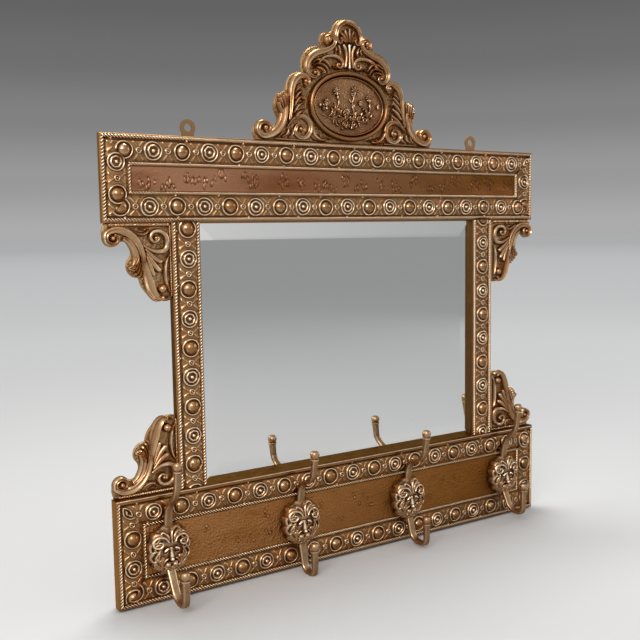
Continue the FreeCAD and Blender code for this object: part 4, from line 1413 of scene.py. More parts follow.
@dataclass(frozen=True)
class Medallion:
    """Oval rim and crowned plaque with a spray of flowers in low relief."""

    centre: float = 31.0
    half_width: float = 53.0
    half_height: float = 38.4
    foot: float = 10.0
    crown: float = 2.4
    rim_width: float = 8.4
    lip_line: float = 7.2
    plaque_inset: float = 7.6
    leaf_count: int = 84
    leaf_draw: int = 17
    seed_count: int = 44
    seed_draw: int = 31
    flowers: tuple[tuple[tuple[float, float], float], ...] = (
        ((-17, 15), 5.0), ((7, 17), 5.4), ((26, 10), 4.6), ((-30, 3), 4.0), ((15, 4), 3.8), ((-4, -6), 4.0),
    )

    def build(self, shop: Workshop) -> None:
        """Write the rim and the plaque in place of their nodes.

        Args:
            shop: workshop that writes the pieces.
        """
        for name, shell, finish, slot, node in (
            ("medallion_ring", self._rim(), PRESSED_BRASS, Slot.PRESSED, "medallion_rim"),
            ("medallion_relief", self._plaque(), PLAQUE_BRASS, Slot.COPPER, "medallion_plaque"),
        ):
            shop.piece(name, shell.moved(0, 0, self.centre), finish, slot, (node,))

    def _rim(self) -> Shell:
        """Rim: a section with a broad roll, a groove and a thin lip, carried round an oval.

        Returns:
            The closed rim.
        """
        steps = 220
        inset = np.concatenate([np.linspace(0.0, 5.6, 15), np.linspace(6.0, self.rim_width, 7)])
        roll = 6.2 * half_round(inset - 2.8, 2.82) ** 0.9
        out = roll + 3.6 * half_round(inset - self.lip_line, 1.22) + 0.8
        inset = np.concatenate([inset, [self.rim_width, 0.0]])
        out = np.concatenate([out, [-1.0, -1.0]])
        rings = turned_rings(self.half_width - inset, self.foot + out, self.half_height - inset, steps)
        wear_and_painted_light = np.clip(0.12 + 0.062 * out + 0.3 * (np.abs(inset - self.lip_line) < 0.7), 0.05, 0.8)
        faces = grid_faces(steps, len(out), wrap=True, close=True)
        return Shell(rings.swapaxes(0, 1).reshape(-1, 3), faces, np.tile(wear_and_painted_light, steps))

    def _bulge(self, points: Array) -> Array:
        """Crown of the plaque: highest in the middle, falling off as the square of the share to its edge."""
        share = (points[:, 0] / self.half_width) ** 2 + (points[:, 2] / self.half_height) ** 2
        return self.crown * np.clip(1.0 - share, 0.0, 1.0)

    def _spray(self) -> list[Stroke]:
        """Three flowering stems over a thicket of small leaves that follows the lower edge.

        Returns:
            Stems, leaves and petals.
        """
        stem = (0.9, 1.2, 1.1, 0.8)
        stems = strokes_of(Profile.ROUND, (
            (((-22, -20), (-20, -8), (-15, 3), (-17, 14)), stem, 2.2),
            (((2, -22), (5, -10), (3, 2), (7, 16)), stem, 2.4),
            (((25, -19), (24, -9), (28, -1), (26, 9)), stem, 2.2),
            (((-39, -9), (-20, -15), (0, -13), (20, -16), (38, -9)), (0.9, 1.5, 1.8, 1.5, 0.9), 1.6),
        ))
        loose = np.random.default_rng(self.leaf_draw)
        along = np.radians(loose.uniform(184, 356, self.leaf_count))
        depth = loose.uniform(0.4, 0.93, self.leaf_count)
        thicket = np.stack([depth * 43.0 * np.cos(along), depth * 28.0 * np.sin(along)], axis=1)
        climbing = np.array([(-19, -6), (-17, 0), (-16, 6), (4, -8), (4, -2), (4, 4), (6, 10), (25, -7),
                             (27, 0), (27, 4)])
        places = np.concatenate([thicket, climbing])
        turns = loose.uniform(0.1, 1.0, len(places)) * math.pi
        lengths = loose.uniform(4.5, 8.5, len(places))
        tips = places + lengths[:, None] * np.stack([np.cos(turns), np.sin(turns)], axis=1)
        bows = (places + tips) / 2 + 1.1 * np.stack([-np.sin(turns), np.cos(turns)], axis=1)
        leaves = [(path, (0.6, 1.7, 0.6), 2.8) for path in np.stack([places, bows, tips], axis=1)]
        petals = []
        for centre, size in self.flowers:
            middle = np.array(centre, float)
            for turn in np.linspace(0, FULL_TURN, 8, endpoint=False):
                petal = size * np.array([math.cos(turn), math.sin(turn)])
                petals.append(((middle, middle + petal / 2, middle + petal), (0.5, 1.2, 1.3), 2.8))
        return stems + strokes_of(Profile.LEAF, leaves) + strokes_of(Profile.ROUND, petals)

    def _plaque(self) -> Shell:
        """Plaque: a crowned oval in rings from its middle out, with the spray and loose seeds laid on it.

        Its ground is dented by two crossed waves and a finer one.

        Returns:
            The closed plaque with its relief.
        """
        steps = 120
        share = np.linspace(0.0, 1.0, 30)
        flat = turned_rings(
            share * (self.half_width - self.plaque_inset),
            np.full(len(share), self.foot + 1.4),
            share * (self.half_height - self.plaque_inset),
            steps,
        ).reshape(-1, 3)
        dents = 0.16 * np.sin(flat[:, 0] / 3.1 + 1.3) * np.sin(flat[:, 2] / 2.7)
        dents += 0.1 * np.sin(flat[:, 0] / 1.7)
        ground = Shell(flat, grid_faces(len(share), steps, wrap=True)[:, ::-1], np.full(len(flat), 0.4))
        ground = ground.lifted(self._bulge(flat) + dents)
        edge = np.arange(len(flat) - steps, len(flat))
        low = edge + steps
        under = flat[edge] - np.array([0.0, 2.4, 0.0])
        wall = np.stack([edge, low, np.roll(low, -1), np.roll(edge, -1)], axis=-1)
        body = Shell(np.concatenate([ground.points, under]), np.concatenate([ground.faces, wall]),
                     np.concatenate([ground.wear_and_painted_light, np.full(steps, 0.2)]), [low[::-1]])
        loose = np.random.default_rng(self.seed_draw)
        seeds = loose.uniform(-1, 1, (self.seed_count, 2)) * np.array([36, 22])
        foot = self.foot + 1.2
        relief = [stroke.shell(foot, 0.7, 9) for stroke in self._spray()]
        relief += [ball((across, foot, up), 1.0, 1.2, 10) for across, up in seeds]
        whole = joined([body, *(shell.lifted(self._bulge(shell.points)) for shell in relief)])
        return replace(whole, wear_and_painted_light=0.1 + 0.9 * relief_wear(whole.points, 0.9, 4, 4.0))


# Brackets: rows of path, half widths and rise, across from the stile's edge and up from the rail


BRACKET_TROUGHS = (
    (((10.6, 71.4), (12.6, 74.4), (17.4, 74), (21.8, 68), (25, 58.6), (28.2, 46), (30.2, 33), (33, 24)),
     (2, 2.6, 4, 5.2, 5.6, 4.8, 3.6, 1.6), 6.4),
)
BRACKET_SCROLLS = (
    (((29.4, 40), (31, 31), (34.6, 21.4), (41, 13), (50, 7.6), (59.4, 7), (66.4, 10.6), (66.8, 17.4),
      (61.4, 20.6), (56, 18), (56, 12.8), (60, 12)),
     (1.4, 3.2, 3.8, 4.6, 4.4, 3.8, 3.1, 2.7, 2.6, 2.4, 2.1, 1.7), 6.4),
    (((50.6, 14), (43.6, 18.6), (38.8, 27), (37.4, 36), (40.6, 42.4), (46, 44.4)),
     (1.6, 3, 3.6, 3.8, 3, 1.8), 5.6),
)
BRACKET_RODS = (
    (((27.4, 32), (23.2, 43), (19.6, 53)), (1.4, 3.0, 2.2), 5.8),
    (((27.8, 28.6), (20.0, 40.4), (13, 48.8)), (1.4, 3.4, 2.8), 6.0),
    (((29, 25), (19.4, 34.2), (10.6, 39.6)), (1.4, 3.4, 3.0), 6.0),
    (((31, 21.6), (22.2, 26.6), (14.6, 28.4), (7.8, 27), (5, 21), (6.4, 12.6), (12.6, 8.4), (20, 9.6),
      (22.6, 15.2), (18.6, 19), (14, 16.6), (15.6, 13.2)),
     (1.4, 2.6, 3.2, 3.4, 3.4, 3.1, 2.8, 2.5, 2.3, 2, 1.8, 1.5), 5.8),
)
BRACKET_LEAVES = (
    (((35.4, 33), (38.6, 41), (43.2, 41.6)), (1.2, 2.0, 1.3), 6.4),
    (((35, 36), (38.4, 45), (43, 45.8)), (1.2, 2.2, 1.4), 6.6),
    (((33.6, 38), (36.6, 48), (40.6, 49.6)), (1.2, 2.3, 1.5), 6.6),
    (((32.4, 41), (34, 50.4), (36.8, 52.8)), (1.2, 2.2, 1.5), 6.2),
    (((31.2, 45), (31.6, 52.4), (33.2, 56)), (1.1, 1.9, 1.3), 5.8),
    (((42, 5.6), (34.6, 10.6), (27.6, 11), (22.8, 6.2)), (1.2, 2.4, 2.3, 1.2), 4.8),
    (((34, 5.2), (28, 6.4), (24.6, 4)), (0.9, 1.6, 1), 3.6),
    (((3.4, 70), (6.4, 60), (7.4, 49), (6.4, 39), (3, 31)), (1.2, 2.4, 2.8, 2.3, 1.1), 4.8),
    (((5, 73), (8.4, 75), (12, 76.2)), (1, 1.6, 1), 4.4),
)
BRACKET_ROPES = (
    (((1.4, 1.6), (1.4, 40), (1.4, 74)), (1.3, 1.3, 1.3), 3.4),
    (((1, 2.0), (30, 2.0), (65, 2.0)), (2, 2, 2), 4.4),
)
BRACKET_BOSSES = ((11.6, 65.4, 4.9, 7.8), (60.4, 14.6, 3.0, 6.4), (16.4, 15, 2.8, 5.6))


@dataclass(frozen=True)
class Bracket:
    """Corner bracket: stippled ground, S-scroll with a trough, acanthus leaf, inner volute and leaf blades."""

    width: float = 70.0
    height: float = 78.0
    back: float = 7.8
    ground: float = 9.6
    foot_share: float = 0.96
    arc_shares: Arcs = (
        ((1.0, 0.155), (0.86, 0.285)), ((0.75, 0.235), (0.66, 0.24)), ((0.6, 0.34), (0.655, 0.47)),
        ((0.655, 0.61), (0.5, 0.69)), ((0.415, 0.86), (0.2, 0.985)), ((0.1, 1.0), (0, 0.975)),
    )

    def strokes(self) -> list[Stroke]:
        """Scrolls, blades, leaves and ropes of one bracket.

        Returns:
            The strokes, grouped by profile.
        """
        return (strokes_of(Profile.TROUGH, BRACKET_TROUGHS) + strokes_of(Profile.FLUTED, BRACKET_SCROLLS)
                + strokes_of(Profile.ROUND, BRACKET_RODS) + strokes_of(Profile.LEAF, BRACKET_LEAVES)
                + strokes_of(Profile.ROPE, BRACKET_ROPES))

    def outline(self) -> Array:
        """Edge of the bracket, against the clock from the corner of stile and rail: a chain of arcs."""
        arcs = arc_chain(self.foot_share, self.arc_shares, (self.width, self.height))
        return np.concatenate([[[0.0, 0.0]], arcs])

    def build(self, shop: Workshop) -> None:
        """Write all four brackets, turned over for each corner, in place of their skins.

        Args:
            shop: workshop that writes the pieces.
        """
        plain = outlined_plate(self.outline(), self.back, self.ground)
        raised = worn_ornament(ornament(self.strokes(), BRACKET_BOSSES, self.ground))
        for row, upper, rail in (("upper", True, HEADER_BOTTOM), ("lower", False, BASE_TOP)):
            for side, left, edge in (("left", True, -STILE_EDGE), ("right", False, STILE_EDGE)):
                name = f"{row}_{side}"
                ground = plain.mirrored(left, upper).moved(edge, 0, rail)
                shop.piece(f"{name}_ground", ground, STIPPLED_BRASS, Slot.PRESSED,
                           (f"{name}_bracket_skin",), sharp=40.0)
                scrolls = raised.mirrored(left, upper).moved(edge, 0, rail)
                shop.piece(f"{name}_scrolls", scrolls, SCROLL_BRASS, Slot.PRESSED)


# Panels


def field_plate(across: Array, up: Array, out: Array, wear_and_painted_light: Array, back: float) -> Shell:
    """Sheet over a grid: a front of given heights, side walls down to the back and a cap on the back.

    Args:
        across: across values of the columns.
        up: up values of the rows, rising.
        out: height out at each row and column.
        wear_and_painted_light: wear at each row and column.
        back: height out of the back.

    Returns:
        The closed sheet.
    """
    rows, columns = out.shape
    grid_across, grid_up = np.meshgrid(across, up)
    points = np.stack([grid_across, out, grid_up], axis=-1).reshape(-1, 3)
    index = np.arange(rows * columns).reshape(rows, columns)
    edge = np.concatenate([index[0, :-1], index[:-1, -1], index[-1, :0:-1], index[:0:-1, 0]])
    foot = points[edge].copy()
    foot[:, 1] = back
    low = rows * columns + np.arange(len(edge))
    wall = np.stack([edge, low, np.roll(low, -1), np.roll(edge, -1)], axis=-1)
    faces = np.concatenate([grid_faces(rows, columns)[:, ::-1], wall])
    shade = np.concatenate([wear_and_painted_light.reshape(-1), np.full(len(edge), 0.3)])
    return Shell(np.concatenate([points, foot]), faces, shade, [low[::-1]])


@dataclass(frozen=True)
class PunchedPanel:
    """Copper sheet between the borders, uneven from beating, with clusters of small marks raised in it."""

    node: str
    low: float
    high: float
    front: float
    clusters: int
    marks: int
    mark_size: float
    slimness: float
    rise: float
    finish: BrassFinish
    spread: tuple[float, float]
    seed: int
    half_width: float = 255.0
    step: float = 0.7

    def build(self, shop: Workshop) -> bpy.types.Object:
        """Write the sheet in place of its node.

        Its height is the sheet's front plus slow waves, plus a small ridge in a shallow moat at each mark.

        Args:
            shop: workshop that writes the piece.

        Returns:
            The piece.
        """
        across = np.linspace(-self.half_width, self.half_width, int(2 * self.half_width / self.step))
        up = np.linspace(self.low, self.high, int((self.high - self.low) / self.step))
        grid_across, grid_up = np.meshgrid(across, up)
        waves = 0.2 * np.sin(grid_across / 17.0 + 0.7 * self.seed) * np.cos(grid_up / 9.0)
        waves += 0.13 * np.sin(grid_across / 7.7 + grid_up / 6.1)
        ridges, moats = self._marks(grid_across, grid_up)
        height = self.front + waves + self.rise * (ridges - 0.4 * moats)
        # Painted highlight on each mark's ridge and painted shade in its moat; a little lighter where the waves
        # stand out.
        wear_and_painted_light = np.clip(PLAIN_WEAR + 0.34 * ridges - 0.4 * moats + 0.1 * waves, 0.02, 1.0)
        shell = field_plate(across, up, height, wear_and_painted_light, self.front - SHEET)
        return shop.piece(f"{self.node}_sheet", shell, self.finish, Slot.COPPER, (self.node,))

    def _marks(self, across: Array, up: Array) -> tuple[Array, Array]:
        """Marks in loose clusters along the sheet, each a slim turned bell with a moat round it.

        Args:
            across: across value at every row and column.
            up: up value at every row and column.

        Returns:
            Height share of the ridges and depth share of the moats.
        """
        loose = np.random.default_rng(self.seed)
        along = np.linspace(-0.95, 0.95, self.clusters) * self.half_width
        along = along + loose.uniform(-7, 7, self.clusters)
        level = loose.uniform(0.22, 0.78, self.clusters) * (self.high - self.low) + self.low
        middles = np.stack([along, level], axis=1)
        strays = loose.normal(0.0, self.spread, (self.clusters, self.marks, 2))
        spots = (middles[:, None, :] + strays).reshape(-1, 2)
        sizes = self.mark_size * loose.uniform(0.7, 1.2, len(spots))
        turns = loose.uniform(1.1, 2.0, len(spots))
        ridges, moats = np.zeros_like(across), np.zeros_like(across)
        for (spot_across, spot_up), size, turn in zip(spots, sizes, turns):
            right, rise = across - spot_across, up - spot_up
            lengthwise = right * math.cos(turn) + rise * math.sin(turn)
            crosswise = rise * math.cos(turn) - right * math.sin(turn)
            reach = np.hypot(lengthwise, self.slimness * crosswise) / size
            ridges = np.maximum(ridges, np.exp(-(reach**2)))
            moats = np.maximum(moats, np.exp(-(((reach - 1.5) / 0.6) ** 2)))
        return ridges, moats * (1.0 - ridges)


PANELS = (
    PunchedPanel("header_panel", low=-64.0, high=-41.0, front=11.8, clusters=23, marks=8, mark_size=2.0,
                 slimness=2.7, rise=0.8, finish=HEADER_SHEET, spread=(4.6, 3.4), seed=7),
    PunchedPanel("base_panel", low=-446.0, high=-397.0, front=16.8, clusters=30, marks=4, mark_size=1.1,
                 slimness=1.2, rise=0.45, finish=BASE_SHEET, spread=(2.6, 2.4), seed=9),
)


# Hooks: rows of path, half widths and rise for the mask's right half and its middle line, and its round forms


FACE_SIDE = (
    (((2.4, 2.8), (5.2, 2.4), (8.8, -0.4)), (1.3, 2.0, 1.2), 5.4),
    (((3.2, -1.6), (6.2, -3.0), (9.2, -2.0)), (0.8, 1.1, 0.8), 3.0),
    (((3.2, -7.6), (7.6, -11.0), (9.4, -15.6)), (1.1, 1.7, 1.0), 3.6),
    (((12.6, -2.0), (13.4, -8.0), (11.4, -14.0)), (1.2, 2.2, 1.3), 4.2),
    (((17.4, -8.4), (14.6, -14.6), (8.6, -20.4)), (1.4, 2.6, 1.5), 4.6),
    (((2.6, 8.0), (7.0, 13.8), (13.4, 14.8), (18.4, 11.0), (17.4, 5.8), (12.4, 4.8), (9.2, 7.8),
      (11.6, 10.2), (14.2, 9.2)), (1.2, 2.0, 2.2, 2.2, 2.0, 1.8, 1.5, 1.3, 1.0), 6.2),
    (((2.2, 9.6), (3.6, 15.0), (8.0, 19.0), (11.0, 17.2)), (1.2, 1.9, 1.8, 1.1), 5.4),
    (((1.6, -19.2), (5.0, -20.4), (8.4, -18.6)), (0.8, 1.2, 0.8), 3.2),
)
FACE_MIDDLE = (
    (((-5.0, -11.4), (0, -12.6), (5.0, -11.4)), (0.8, 1.0, 0.8), 4.2),
    (((0, -19.6), (0, -21.6), (0, -23.4)), (2.2, 2.2, 1.2), 3.6),
    (((0, 7.4), (0, 13.0), (0.8, 18.4), (3.0, 21.0)), (1.2, 1.8, 1.7, 1.0), 5.8),
)
NOSE = Stroke([(0, 4.4), (0, 0.2), (0, -4.4), (0, -8.6)], (2.6, 2.2, 2.6, 3.2), 6.0,
              swell=(0.45, 0.6, 0.85, 1.1))
FACE_ROUNDS = (
    (-3.9, -15.2, 3.9, 5.6), (-6.0, -0.2, 1.7, 2.4), (-9.6, -8.0, 3.2, 3.8),
    (3.9, -15.2, 3.9, 5.6), (6.0, -0.2, 1.7, 2.4), (9.6, -8.0, 3.2, 3.8), (0.0, -8.6, 2.9, 7.2),
)
STRAP_DEPTHS = (2.2, 2.4, 2.4, 2.5, 2.8, 3.2)


@dataclass(frozen=True)
class LionHook:
    """Cast hook: lion mask, strap rising to a ball above and curling forward to a ball below."""

    number: int
    across: float
    foot: float
    elbow: float
    tip: float
    prong_out: float
    drop: float
    curl_tip: float
    curl_out: float
    slant_out: float
    sink: float = 0.0
    middle: float = -421.5
    panel: float = 16.8
    root: float = 20.4
    stand: float = 25.6
    lean: float = 4.0
    strap_root: float = 12.0
    half_width: float = 22.8
    half_height: float = 25.4

    def build(self, shop: Workshop) -> bpy.types.Object:
        """Write the mask, both straps and their ends as one piece in place of its node.

        Args:
            shop: workshop that writes the piece.

        Returns:
            The piece.
        """
        mask = self._mask()
        flat = mask.lifted(-self._dome(mask.points))
        mask = replace(mask, wear_and_painted_light=0.1 + 0.9 * relief_wear(flat.points, 0.6, 4, 4.6)).moved(0, 0, -self.sink)
        prong = self._strap(
            [(self.root, self.strap_root), (self.stand, self.foot), (self.prong_out - self.lean, self.elbow),
             (self.prong_out, self.tip)],
            11.0, (4.8, 4.6, 4.2, 3.5, 3.4, 3.8),
        )
        curl = self._strap(
            [(self.root, -self.strap_root), (self.slant_out, -self.drop), (self.curl_out, -self.drop),
             (self.curl_out, -self.curl_tip)],
            9.5, (4.8, 4.6, 4.4, 4, 3.7, 3.8),
        )
        ends = [self._end(self.prong_out, self.tip), self._end(self.curl_out, -self.curl_tip)]
        whole = joined([mask, prong, curl, *ends]).moved(self.across, 0, self.middle)
        name = f"lion_hook_{self.number}"
        return shop.piece(name, whole, CAST_BRASS, Slot.CAST, (f"hook_{self.number}",))

    def _dome(self, points: Array) -> Array:
        """Height of the mask's ground over the panel: an oval dome on a low rim."""
        share = np.hypot(points[:, 0] / self.half_width, points[:, 2] / self.half_height)
        return 2.4 + 8.6 * half_round(share, 1.03) ** 0.9

    def _ground(self) -> Shell:
        """Lobed oval ground of the mane: rings from its middle out, then a wall down to the panel.

        Returns:
            The closed ground.
        """
        steps, lobes = 72, 14
        share = np.concatenate([np.linspace(0.0, 0.92, 22), [0.94, 0.94]])
        level = np.full(len(share), self.panel)
        rings = turned_rings(share * self.half_width, level, share * self.half_height, steps)
        lobe = 1.0 + 0.03 * np.cos(lobes * np.linspace(0.0, FULL_TURN, steps, endpoint=False))
        rings[..., [0, 2]] *= lobe[None, :, None]
        points = rings.reshape(-1, 3)
        lift = self._dome(points)
        lift[-steps:] = 0.0
        faces = grid_faces(len(share), steps, wrap=True)[:, ::-1]
        foot = np.arange(len(points) - steps, len(points))
        return Shell(points, faces, np.full(len(points), 0.2), [foot]).lifted(lift)

    def _locks(self) -> list[Stroke]:
        """Locks of the mane: curls that leave the face, swing round and hook back, in two rows.

        Returns:
            The locks, each on radii that grow and shrink again while its angle swings out and back.
        """
        strokes = []
        for count, start, reach, width, rise, stagger in (
            (13, 0.66, 0.96, 2.2, 4.6, 0.0), (10, 0.5, 0.76, 1.8, 4.4, 0.5),
        ):
            radii = np.array([start, 0.5 * (start + reach), reach, reach - 0.06, reach - 0.2, reach - 0.22])
            for turn in np.radians(90.0 + (np.arange(count) + stagger) * 360.0 / count):
                hand = 1.0 if math.cos(turn) < 0 else -1.0
                angles = turn + np.radians([0.0, 8.0, 20.0, 33.0, 33.0, 22.0]) * hand
                path = np.stack([self.half_width * radii * np.cos(angles),
                                 self.half_height * radii * np.sin(angles)], axis=1)
                strokes.append(Stroke(path, (1.0, width, width, 0.8 * width, 1.4, 1.0), rise))
        return strokes

    @staticmethod
    def _features() -> list[Stroke]:
        """Face: brows, eyelids, cheek folds, jaw, side curls and top tufts, with nose, lip and chin between.

        Returns:
            The strokes of the right side, of the left side and of the middle.
        """
        right = strokes_of(Profile.ROUND, FACE_SIDE)
        left = [replace(stroke, path=np.array(stroke.path) * np.array([-1.0, 1.0])) for stroke in right]
        return right + left + [NOSE] + strokes_of(Profile.ROUND, FACE_MIDDLE)

    def _mask(self) -> Shell:
        """Mask: ground, locks, face strokes and round forms, all laid on the dome.

        Returns:
            The shell of the whole mask.
        """
        raised = [ball((across, self.panel, up), radius, rise, 16) for across, up, radius, rise in FACE_ROUNDS]
        raised += [stroke.shell(self.panel, 0.7, 9) for stroke in self._locks() + self._features()]
        laid = [shell.lifted(self._dome(shell.points) - 0.4) for shell in raised]
        return joined([self._ground(), *laid])

    def _strap(self, corners: Points, bend: float, widths: Sequence[float]) -> Shell:
        """Strap: a rounded oblong section carried along a line with bends, in the plane square to the wall.

        Args:
            corners: out and up of the line's corners.
            bend: length of the line that each bend takes up on either side of its corner.
            widths: half widths along the line.

        Returns:
            The closed strap.
        """
        line = self._bent(np.array(corners, float), bend)
        tangent = directions(line)
        normal = np.stack([tangent[:, 1], -tangent[:, 0]], axis=1)
        share = np.linspace(0, 1, len(line))
        half, deep = spread_along(share, widths), spread_along(share, STRAP_DEPTHS)
        turn = np.linspace(0, FULL_TURN, 28, endpoint=False)
        wide = np.sign(np.cos(turn)) * np.abs(np.cos(turn)) ** 0.55
        thick = np.sign(np.sin(turn)) * np.abs(np.sin(turn)) ** 0.7
        depth = deep[:, None] * thick[None, :]
        points = capped(np.stack(
            [half[:, None] * wide, line[:, :1] + normal[:, :1] * depth, line[:, 1:] + normal[:, 1:] * depth],
            axis=-1,
        ))
        edge = 0.31 + 0.47 * smoothstep(np.minimum(np.abs(wide), np.abs(thick)), 0.45, 0.8)
        wear_and_painted_light = np.tile(edge, len(points))
        return Shell(points.reshape(-1, 3), grid_faces(*points.shape[:2], wrap=True), wear_and_painted_light)

    @staticmethod
    def _bent(corners: Array, bend: float) -> Array:
        """Line through the corners with each inner one rounded by a curve drawn towards it, at even steps.

        Args:
            corners: out and up of the corners.
            bend: length that a bend takes up on either side of its corner.

        Returns:
            Points of the line, about a millimetre apart.
        """
        parts = [corners[:1]]
        share = np.linspace(0, 1, 12)[:, None]
        for before, corner, after in zip(corners[:-2], corners[1:-1], corners[2:]):
            legs = [end - corner for end in (before, after)]
            lengths = [np.linalg.norm(leg) for leg in legs]
            start, end = (corner + leg / length * min(bend, 0.5 * length) for leg, length in zip(legs, lengths))
            parts.append((1 - share) ** 2 * start + 2 * share * (1 - share) * corner + share**2 * end)
        whole = np.concatenate([*parts, corners[-1:]])
        total = np.linalg.norm(np.diff(whole, axis=0), axis=1).sum()
        return even_steps(whole, int(total))[0]

    @staticmethod
    def _end(out: float, up: float) -> Shell:
        """End of a strap: a collar and a round button above it, turned about the upright line.

        Args:
            out: height out of its axis.
            up: height of the strap's end.

        Returns:
            The closed end.
        """
        steps = 32
        lift = np.linspace(-0.42 * math.pi, 0.5 * math.pi, 14)
        radii = np.concatenate([[0.0, 3.9, 4.7, 4.8, 4.7, 3.6, 3.4], 5.0 * np.abs(np.cos(lift)) ** 0.5])
        heights = np.concatenate([[-0.6, -0.6, -0.2, 0.7, 1.7, 2.0, 2.2], 5.8 + 4.4 * np.sin(lift)])
        points = turned_rings(radii, heights, radii, steps)[..., [0, 2, 1]] + np.array([0.0, out, up])
        button = 0.3 + 0.4 * np.cos(lift) ** 0.5 * (lift > -1)
        shade = np.concatenate([[0.3, 0.4, 0.7, 0.85, 0.7, 0.15, 0.12], button])
        return Shell(points.reshape(-1, 3), grid_faces(len(radii), steps, wrap=True), np.repeat(shade, steps))


HOOKS = (
    LionHook(1, across=-234.0, foot=45.0, elbow=60.0, tip=84.3, prong_out=51.0, drop=48.4, curl_tip=22.3,
             curl_out=62.0, slant_out=41.6),
    LionHook(2, across=-77.4, foot=41.4, elbow=49.2, tip=72.2, prong_out=52.7, drop=56.6, curl_tip=29.9,
             curl_out=49.5, slant_out=30.3, sink=3.0),
    LionHook(3, across=73.0, foot=41.4, elbow=50.4, tip=74.8, prong_out=56.7, drop=52.0, curl_tip=27.6,
             curl_out=56.5, slant_out=32.8, sink=3.0),
    LionHook(4, across=229.2, foot=45.0, elbow=60.0, tip=85.1, prong_out=47.9, drop=44.2, curl_tip=14.7,
             curl_out=57.6, slant_out=36.7),
)


# Stage


@dataclass(frozen=True)
class SoftLamp:
    """Square area lamp aimed at the middle of the mirror."""

    name: str
    place: Triple
    size: float
    energy: float
    colour: Colour
    target: Triple = (0.0, 0.0, -0.2)

    def build(self) -> None:
        """Set the lamp in its place, turned to its target."""
        data = bpy.data.lights.new(self.name, "AREA")
        data.shape = "SQUARE"
        data.size = self.size
        data.energy = self.energy
        data.color = self.colour
        lamp = bpy.data.objects.new(self.name, data)
        lamp.location = self.place
        aim = Vector(self.target) - Vector(self.place)
        lamp.rotation_euler = aim.to_track_quat("-Z", "Y").to_euler()
        bpy.context.scene.collection.objects.link(lamp)


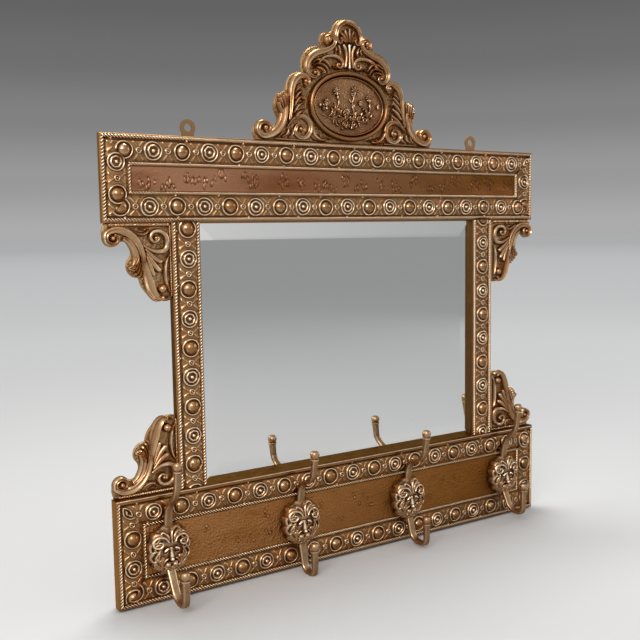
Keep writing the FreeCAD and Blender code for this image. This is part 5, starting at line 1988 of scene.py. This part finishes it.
@dataclass(frozen=True)
class Studio:
    """Camera at the photo's place, plain pale floor, grey background and soft lamps, all in metres."""

    place: Triple = (-0.5647, -0.8258, -0.105)
    yaw: float = 32.71
    pitch: float = -5.85
    roll: float = -0.87
    focal_pixels: float = 874.9
    picture: float = 640.0
    sensor: float = 36.0
    floor_level: float = -0.479
    floor_reach: float = 40.0
    floor_near: Colour = (0.7, 0.7, 0.7)
    floor_middle: Colour = (0.93, 0.93, 0.93)
    floor_far: Colour = (0.735, 0.735, 0.735)
    floor_mirrored: Colour = (0.58, 0.58, 0.58)
    daylight: Colour = (0.56, 0.565, 0.57)
    wall_dim: Colour = (0.33, 0.332, 0.335)
    wall_lit: Colour = (1.0, 0.99, 0.97)
    lit_side: Triple = (-0.75, -0.5, 0.43)
    skyline: Colour = (0.41, 0.41, 0.41)
    sky: tuple[Triple, ...] = (
        (0.0, 0.06, 0.315), (0.06, 0.124, 0.22), (0.124, 0.188, 0.155), (0.188, 0.244, 0.125),
    )
    lamps: tuple[SoftLamp, ...] = (
        SoftLamp("key_lamp", (-1.5, -1.3, 0.9), 1.0, 20.0, (1.0, 0.97, 0.93)),
        SoftLamp("fill_lamp", (2.3, -0.9, 0.5), 1.2, 8.0, (0.95, 0.97, 1.0)),
        SoftLamp("top_lamp", (0.05, 0.3, 1.0), 0.45, 10.0, (1.0, 0.99, 0.97)),
    )

    def camera(self) -> None:
        """Set the camera by its yaw from the wall's normal, its pitch and its roll."""
        yaw, pitch, roll = (math.radians(angle) for angle in (self.yaw, self.pitch, self.roll))
        level = math.cos(pitch)
        ahead = Vector((math.sin(yaw) * level, math.cos(yaw) * level, math.sin(pitch)))
        right = Vector((math.cos(yaw), -math.sin(yaw), 0.0))
        up = right.cross(ahead)
        turned = right * math.cos(roll) + up * math.sin(roll)
        upright = up * math.cos(roll) - right * math.sin(roll)
        data = bpy.data.cameras.new("photo_camera")
        data.sensor_width = self.sensor
        data.lens = self.focal_pixels / self.picture * self.sensor
        camera = bpy.data.objects.new("photo_camera", data)
        bpy.context.scene.collection.objects.link(camera)
        matrix = Matrix((turned, upright, -ahead)).transposed().to_4x4()
        matrix.translation = Vector(self.place)
        camera.matrix_world = matrix
        bpy.context.scene.camera = camera

    def floor(self) -> None:
        """Round pale floor: rings of points at growing distances, darker far away."""
        steps = 64
        reach = np.concatenate([[0.02], np.geomspace(0.3, self.floor_reach, 24)])
        rings = turned_rings(reach, np.full(len(reach), self.floor_level), reach, steps)[..., [0, 2, 1]]
        faces = grid_faces(len(reach), steps, wrap=True).tolist() + [list(range(steps))]
        mesh = bpy.data.meshes.new("studio_floor")
        mesh.from_pydata(rings.reshape(-1, 3).tolist(), [], faces)
        tree = Surface("pale_floor")
        centre = tree.add("ShaderNodeVectorMath", {"operation": "LENGTH"}, {0: tree.place()})
        distance = Level(tree, centre.outputs["Value"])
        near = tree.mix(distance.rise(0.7, 2.5), self.floor_near, self.floor_middle)
        base = tree.mix(distance.rise(3.6, 22.0), near, self.floor_far)
        path = tree.add("ShaderNodeLightPath")
        base = tree.mix(path.outputs["Is Glossy Ray"], base, self.floor_mirrored)
        mesh.materials.append(tree.finish(base_color=base, roughness=1.0, specular_ior_level=0.0))
        floor = bpy.data.objects.new("studio_floor", mesh)
        bpy.context.scene.collection.objects.link(floor)

    def world(self) -> None:
        """Even light for diffuse rays, greys by height as the background, and soft walls for reflections."""
        world = bpy.data.worlds.new("studio_world")
        bpy.context.scene.world = world
        tree = Tree(world)
        aim = tree.add("ShaderNodeTexCoord").outputs["Generated"]
        up = Level(tree, tree.add("ShaderNodeSeparateXYZ", sockets={0: aim}).outputs["Z"])
        seen = self.skyline
        for low, high, grey in self.sky:
            seen = tree.mix(up.rise(low, high), seen, (grey, grey, grey))
        facing = tree.add("ShaderNodeVectorMath", {"operation": "DOT_PRODUCT"}, {0: aim, 1: self.lit_side})
        lit = Level(tree, facing.outputs["Value"]).rise(-0.4, 0.8)
        walls = tree.mix(lit, self.wall_dim, self.wall_lit)
        path = tree.add("ShaderNodeLightPath")
        direct = Level(tree, path.outputs["Is Camera Ray"]) + Level(tree, path.outputs["Is Transmission Ray"])
        colour = tree.mix(path.outputs["Is Glossy Ray"], self.daylight, walls)
        colour = tree.mix(direct, colour, seen)
        light = tree.add("ShaderNodeBackground", sockets={"Color": colour, "Strength": 1.0})
        tree.add("ShaderNodeOutputWorld", sockets={"Surface": light.outputs[0]})

    def build(self) -> None:
        """Set up the whole stage."""
        self.camera()
        self.floor()
        self.world()
        for lamp in self.lamps:
            lamp.build()
        bpy.context.scene.view_settings.view_transform = "Standard"


def node_finish(node: str) -> Any:
    """Finish of a CAD node by its name: wood, steel, plate and eyes, and pressed brass for the rest.

    Args:
        node: name of the node.

    Returns:
        The finish.
    """
    if node == "mirror_backboard":
        return BACK_WOOD
    if node.endswith(("stile_board", "dowels")):
        return UPRIGHT_WOOD
    if node.endswith("board"):
        return STAINED_WOOD
    if node.endswith("screws"):
        return SteelFinish()
    if node.endswith("eye"):
        return EYE_BRASS
    return PlateFinish() if node == "mirror_plate" else PRESSED_BRASS


def main() -> None:
    """Build the stage, dress the CAD nodes and build every sub-assembly in order."""
    logging.basicConfig(level=logging.INFO, format="%(message)s")
    shop = Workshop()
    Studio().build()
    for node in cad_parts:
        shop.dress(node, node_finish(node))
    for assembly in (BorderFrame(), Crest(), Medallion(), Bracket(), *PANELS, *HOOKS):
        assembly.build(shop)


if __name__ == "__main__":
    main()
